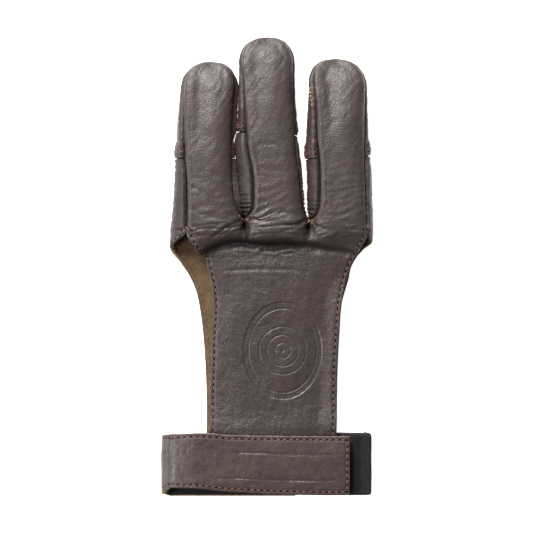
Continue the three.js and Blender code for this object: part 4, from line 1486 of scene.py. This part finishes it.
def leather(name, sizes, colours):
    """Grain side of the leather, with painted shade in its folds, creases and seams and under the knuckle roll.
    """
    pebble, gloss, shade, ornament = GRAINS[name]
    material, tree, shader, where = material_of(name)
    grain = effect(tree, "Leather grain", where)
    grain.inputs["Pebbles per metre"].default_value = 1 / (pebble * sizes.pebble)
    drawn = attribute(tree, "drawn")
    wrinkled = maths(tree, "MULTIPLY", effect(tree, "Drawn wrinkles", where).outputs["Height"], drawn)
    tone = weighed(tree, (grain.outputs["Tone"], 0.7), (wrinkled, 0.35), clamp=True)
    # Painted light: the shade factor darkens or lightens the leather of this piece.
    base = blended(tree, tone, np.multiply(shade, colours.leather), np.multiply(shade, colours.leather_worn))
    # Painted shade: the leather darkens towards the fold colour where the attribute fold marks folds, creases,
    # seams, grooves and the shadow under the knuckle roll.
    deep = ranged(tree, attribute(tree, "fold"), 0.08, 0.9, 0, 0.92)
    tint(tree, shader, deep, base, colours.leather_fold_shade)
    rough = ranged(tree, tone, 0.2, 0.8, gloss + 0.08, gloss - 0.05)
    rough = maths(tree, "ADD", rough, maths(tree, "MULTIPLY", drawn, 0.07))
    link(tree, rough, shader.inputs["Roughness"])
    height = maths(tree, "ADD", grain.outputs["Height"], wrinkled)
    if ornament:
        depth = effect(tree, "Pressed ornament", where).outputs["Depth"]
        height = maths(tree, "SUBTRACT", height, maths(tree, "MULTIPLY", depth, 3.2))
    bump(tree, shader, height, 0.27, 0.0004)
    return material


def suede(name, colours):
    """Flesh side: short brushed fibres in two tones."""
    material, tree, shader, where = material_of(
        name, Roughness=0.95, Specular_IOR_Level=0.15, Sheen_Weight=0.2, Sheen_Roughness=0.6)
    nap = noise_node(tree, where, 1900.0, 5.0, 0.7).outputs["Fac"]
    brushed = noise_node(tree, where, 160.0, 4.0, 0.6).outputs["Fac"]
    share = ranged(tree, weighed(tree, (nap, 0.55), (brushed, 0.45)), 0.36, 0.64)
    tint(tree, shader, share, colours.suede_dark, colours.suede)
    bump(tree, shader, nap, 0.7, 0.0004)
    return material


def cut_edge(name, colours):
    """Raw edge: fibres of the cut leather."""
    material, tree, shader, where = material_of(name, Roughness=0.85)
    fibre = noise_node(tree, where, 1500.0, 4.0, 0.7).outputs["Fac"]
    share = ranged(tree, fibre, 0.35, 0.6)
    tint(tree, shader, share, times(colours.cut_edge, 0.35), colours.cut_edge)
    bump(tree, shader, fibre, 0.6, 0.0002)
    return material


def thread_finish(name, shade):
    """Twisted sewing thread, with painted shade in the grooves of its twist."""
    material, tree, shader, where = material_of(name, Roughness=0.6)
    twist = tree.nodes.new("ShaderNodeTexWave")
    link(tree, where, twist.inputs["Vector"])
    twist.bands_direction = "DIAGONAL"
    twist.inputs["Scale"].default_value = 700.0
    twist.inputs["Distortion"].default_value = 2.0
    # Painted shade: the thread is darker where its twist sinks.
    tint(tree, shader, twist.outputs["Fac"], times(shade, 0.4), shade)
    bump(tree, shader, twist.outputs["Fac"], 0.5, 0.0002)
    return material


def hole_shade_finish(name):
    """Painted shade: a near-black patch that stands for the dark inside of a needle hole, which is not cut into
    the leather.
    """
    material, tree, shader, where = material_of(name, Roughness=0.95, Specular_IOR_Level=0.05)
    speck = noise_node(tree, where, 2500.0, 2.0).outputs["Fac"]
    tint(tree, shader, speck, (0.002, 0.0015, 0.0015), (0.007, 0.005, 0.005))
    return material


def woven(name, colours):
    """Black woven elastic: lighter on the crowns of its ribs and darker between them, a painted highlight and
    painted shade, with random lint.
    """
    material, tree, shader, where = material_of(
        name, Roughness=0.7, Specular_IOR_Level=0.3, Sheen_Weight=0.05)
    lint = noise_node(tree, where, 900.0, 4.0, 0.7).outputs["Fac"]
    base = blended(tree, attribute(tree, "fold"), times(colours.black, 4.4), times(colours.black, 0.5))
    tint(tree, shader, ranged(tree, lint, 0.66, 0.8, 0, 0.5), base, (0.04, 0.038, 0.036))
    bump(tree, shader, lint, 0.5, 0.0002)
    return material


def hook_pile(name, colours):
    """Black hook-and-loop pile."""
    material, tree, shader, where = material_of(name, Roughness=0.9)
    pile = cells_node(tree, where, 1300.0)
    tint(tree, shader, pile, times(colours.black, 2.2), colours.black)
    bump(tree, shader, pile, 0.9, 0.0005)
    return material


def finish_named(name, maker, *values):
    """A finish that is made the first time it is asked for."""
    return bpy.data.materials.get(name) or maker(name, *values)


def hide(name, sizes, colours):
    """The three finishes of a leather wall: grain side, flesh side and raw edge."""
    return (
        finish_named(name, leather, sizes, colours),
        finish_named("flesh_side", suede, colours),
        finish_named("raw_edge", cut_edge, colours),
    )


# Operators.

def settings(context):
    """The sizes and the colours that the user may have changed."""
    return context.scene.glove_sizes, context.scene.glove_colours


def panel_grids(fingers, hand):
    """The grids of a panel: its three fingers, then its hand part with the tongue."""
    grids = fingers()
    parts = [
        (points, number, (shares * FINGERS[number]["length"])[:, None])
        for number, (points, shares) in enumerate(grids)
    ]
    points, along = hand(joined_root(grids))
    return [*parts, (points, len(FINGERS), -along * TONGUE_LENGTH)]


class GLOVE_OT_back_panel(bpy.types.Operator):
    """Make the back panel: three finger backs, the knuckle part and the tongue"""
    bl_idname = "glove.back_panel"
    bl_label = "Back panel"

    def execute(self, context):
        sizes, colours = settings(context)
        materials = hide("back_grain", sizes, colours)
        make_piece("back_panel_leather", panel_grids(back_fingers, back_hand), back_relief, sizes,
                   BACK_WALL, materials, "back_panel", False, RAW_BEHIND)
        return {"FINISHED"}


class GLOVE_OT_palm_panel(bpy.types.Operator):
    """Make the palm panel: side strips, sole and rear tongue"""
    bl_idname = "glove.palm_panel"
    bl_label = "Palm panel"

    def execute(self, context):
        sizes, colours = settings(context)
        materials = hide("palm_grain", sizes, colours)
        make_piece("palm_panel_leather", panel_grids(palm_fingers, palm_hand), palm_relief, sizes,
                   PALM_WALL, materials, "palm_panel")
        return {"FINISHED"}


def cap_grid(number):
    """The grid of a tip cap, and how far its rows are from its lower edge."""
    finger = FINGERS[number]
    band = band_share(finger) * finger["length"]

    def proud_of(share, normal):
        raised = 1 - ease(band + BAND_HEIGHT, band + BAND_HEIGHT + PRESS_RUN, share * finger["length"])
        return raised * band_proud(normal)

    shares = dome_shares(finger, band, CAP_ROWS)
    points = finger_grid(number, shares, palm_turns, PALM_COLUMNS, -GAP / 2, proud_of, levelled)
    return points, shares * finger["length"] - band


class GLOVE_OT_tip_caps(bpy.types.Operator):
    """Make the three reinforced finger tips"""
    bl_idname = "glove.tip_caps"
    bl_label = "Finger tip caps"

    def execute(self, context):
        sizes, colours = settings(context)
        materials = hide("cap_grain", sizes, colours)
        for number, finger in enumerate(FINGERS):
            points, reach = cap_grid(number)
            node = finger["name"] + "_tip"
            make_piece(node + "_leather", [(points, number, reach[:, None])], cap_relief, sizes,
                       CAP_WALL, materials, node)
        return {"FINISHED"}


class GLOVE_OT_wrist_strap(bpy.types.Operator):
    """Make the leather wrist strap and its hook-and-loop lining"""
    bl_idname = "glove.wrist_strap"
    bl_label = "Wrist strap and lining"

    def execute(self, context):
        sizes, colours = settings(context)
        points, front = strap_grid(0, 0, STRAP_ROWS, STRAP_COLUMNS)
        materials = hide("strap_grain", sizes, colours)
        make_piece("wrist_strap_leather", [(points, 0, front[:, None])], strap_relief, sizes,
                   STRAP_WALL, materials, "wrist_strap", raw_behind=NOWHERE)
        points, front = strap_grid(LINING_INSET, STRAP_WALL + GAP, LINING_ROWS, LINING_COLUMNS)
        materials = [finish_named("hook_pile", hook_pile, colours)] * 3
        make_piece("strap_hook_lining", [(points, 0, front[:, None])], lining_relief, sizes,
                   LINING_WALL - LINING_SLACK, materials, "strap_lining")
        return {"FINISHED"}


class GLOVE_OT_wrist_elastic(bpy.types.Operator):
    """Make the woven elastic that closes the wrist loop"""
    bl_idname = "glove.wrist_elastic"
    bl_label = "Wrist elastic"

    def execute(self, context):
        sizes, colours = settings(context)
        points, _ = elastic_grid()
        run = travelled(points[:, 0])
        materials = [finish_named("elastic_web", woven, colours)] * 3
        make_piece("wrist_elastic_web", [(points, 0, run[:, None])], elastic_relief, sizes,
                   ELASTIC_WALL, materials, "wrist_elastic", turned_over=False)
        return {"FINISHED"}


def edge_lines(points, inset, wall, side):
    """The two edge lines of a hand grid, on the outside and on the inside of its wall."""
    lines = []
    for grid, sign in ((points, side), (points[:, ::-1], -side)):
        line, out = line_at(grid, inset)
        kept = (line[:, 1] > -TONGUE_LENGTH + 2) & (line[:, 1] < -NOTCH_DROP - GAP)
        line, out = line[kept][::-1], sign * out[kept][::-1]
        lines += [(line, out), (line - out * wall, -out)]
    return lines


def strap_lines(inset):
    """The lines of stitches round the strap: two long edges and two ends."""
    points, _ = strap_grid(0, 0, STRAP_ROWS, STRAP_COLUMNS)
    lower, out = line_at(points, inset)
    upper, upper_out = line_at(points[:, ::-1], inset)
    first, last = 4, len(lower) - 4
    lines = [(lower[first:last], -out[first:last]), (upper[first:last], upper_out[first:last])]
    for row in (first, last):
        cross = points[row]
        cross = cross[(cross[:, 1] > lower[row, 1]) & (cross[:, 1] < upper[row, 1])]
        lines.append((cross, np.broadcast_to(-out[row], cross.shape)))
    return lines


class GLOVE_OT_stitching(bpy.types.Operator):
    """Sew the edges, the bands, the strap and the tacks"""
    bl_idname = "glove.stitching"
    bl_label = "Stitching"

    def execute(self, context):
        sizes, colours = settings(context)
        inset = sizes.stitch_inset / MM
        threads, holes, orange, pale = [], [], [], []
        objects = bpy.data.objects
        back, palm = objects["back_panel_leather"], objects["palm_panel_leather"]
        points = panel_grids(back_fingers, back_hand)[-1][0]
        for line, out in edge_lines(points, inset, BACK_WALL, 1):
            sew(back, line, out, sizes, threads, holes)
        points = panel_grids(palm_fingers, palm_hand)[-1][0]
        for k, (line, out) in enumerate(edge_lines(points, inset, PALM_WALL, -1)):
            sew(palm, line, out, sizes, threads, [] if k % 2 else holes)
        caps = [objects[finger["name"] + "_tip_leather"] for finger in FINGERS]
        for number, cap in enumerate(caps):
            points, reach = cap_grid(number)
            normal = -grid_normal(points)
            rows = [int(np.argmin(np.abs(reach - row))) for row in BAND_STITCHES]
            cross_stitch(cap, [(points[k, 1:-1], normal[k, 1:-1]) for k in rows], sizes, threads, holes)
        tack([back, palm], RED_TACKS, sizes, threads)
        tack([back, palm], ORANGE_TACKS, sizes, orange)
        tack(caps, PALE_TACKS, sizes, pale)
        for line, out in strap_lines(inset):
            sew(objects["wrist_strap_leather"], line, out, sizes, threads, holes)
        shape = template(8, 5, THREAD_ARCH)
        for name, frames, shade in (
            ("stitching_thread", threads, colours.thread),
            ("crotch_tack_thread", orange, colours.orange_thread),
            ("tip_seam_thread", pale, colours.pale_thread),
        ):
            piece = copies(name, shape, frames, finish_named(name, thread_finish, shade))
            finish(piece, ())
        # Near-black patches of painted shade that stand for the needle holes, which are not cut into the
        # leather.
        needle = copies("needle_hole_shades", template(8, 4), holes, finish_named("needle_hole", hole_shade_finish))
        finish(needle, ())
        return {"FINISHED"}


# Soft lights: name, place, size, power in watts and colour.
LIGHTS = (
    ("key_light", (-0.23, 0.48, 0.63), 0.32, 7.6, (1, 0.975, 0.96)),
    ("top_light", (-0.15, 0.7, 0.4), 0.32, 6.3, (1, 0.975, 0.96)),
    ("side_light", (-0.48, -0.16, 0.45), 0.22, 2.7, (1, 0.975, 0.965)),
)
SENSOR = 36


class GLOVE_OT_stage(bpy.types.Operator):
    """Lay out the pale floor, the soft lights and the camera above the glove"""
    bl_idname = "glove.stage"
    bl_label = "Stage"

    def execute(self, context):
        sizes, colours = settings(context)
        scene = context.scene
        bpy.ops.object.select_all(action="DESELECT")
        bpy.ops.mesh.primitive_plane_add(size=6, location=(0, 0, -RESTING))
        floor = context.object
        floor.name = "floor"
        material, tree, shader, where = material_of(
            "pale_floor", Emission_Strength=0.95, Roughness=0.9, Specular_IOR_Level=0.1)
        cloud = noise_node(tree, where, 3.0, 2.0).outputs["Fac"]
        shade = blended(tree, cloud, times(colours.floor, 0.98), colours.floor)
        link(tree, shade, shader.inputs["Base Color"])
        link(tree, shade, shader.inputs["Emission Color"])
        floor.data.materials.append(material)
        for name, place, size, power, shade in LIGHTS:
            light = bpy.data.lights.new(name, "AREA")
            light.shape = "DISK"
            light.size = size
            light.energy = power
            light.color = shade
            lamp = bpy.data.objects.new(name, light)
            lamp.location = place
            lamp.rotation_euler = (-Vector(place)).to_track_quat("-Z", "Y").to_euler()
            scene.collection.objects.link(lamp)
        world = bpy.data.worlds.new("studio")
        world.use_nodes = True
        background = world.node_tree.nodes["Background"]
        background.inputs["Color"].default_value = (1, 1, 1, 1)
        background.inputs["Strength"].default_value = 0.25
        scene.world = world
        scene.view_settings.view_transform = "Standard"
        lens = bpy.data.cameras.new("camera")
        lens.sensor_width = SENSOR
        lens.lens = SENSOR * sizes.camera_height / sizes.view_width
        lens.clip_end = 20
        camera = bpy.data.objects.new("camera", lens)
        camera.location = (0.0, 0.0, sizes.camera_height)
        scene.collection.objects.link(camera)
        scene.camera = camera
        return {"FINISHED"}


OPERATORS = (
    GLOVE_OT_back_panel,
    GLOVE_OT_palm_panel,
    GLOVE_OT_tip_caps,
    GLOVE_OT_wrist_strap,
    GLOVE_OT_wrist_elastic,
    GLOVE_OT_stitching,
    GLOVE_OT_stage,
)


class GLOVE_PT_panel(bpy.types.Panel):
    """Sizes, colours and the steps that make the glove"""
    bl_idname = "GLOVE_PT_panel"
    bl_label = "Archery glove"
    bl_space_type = "VIEW_3D"
    bl_region_type = "UI"
    bl_category = "Glove"

    def draw(self, context):
        for operator in OPERATORS:
            self.layout.operator(operator.bl_idname)
        for group in (context.scene.glove_sizes, context.scene.glove_colours):
            box = self.layout.box()
            for name in group.__annotations__:
                box.prop(group, name)


CLASSES = (GloveSizes, GloveColours, *OPERATORS, GLOVE_PT_panel)


def register():
    for kind in CLASSES:
        bpy.utils.register_class(kind)
    bpy.types.Scene.glove_sizes = PointerProperty(type=GloveSizes)
    bpy.types.Scene.glove_colours = PointerProperty(type=GloveColours)


def unregister():
    del bpy.types.Scene.glove_colours
    del bpy.types.Scene.glove_sizes
    for kind in reversed(CLASSES):
        bpy.utils.unregister_class(kind)


def main():
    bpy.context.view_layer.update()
    register()
    for operator in OPERATORS:
        group, name = operator.bl_idname.split(".")
        getattr(getattr(bpy.ops, group), name)()


if __name__ == "__main__":
    main()
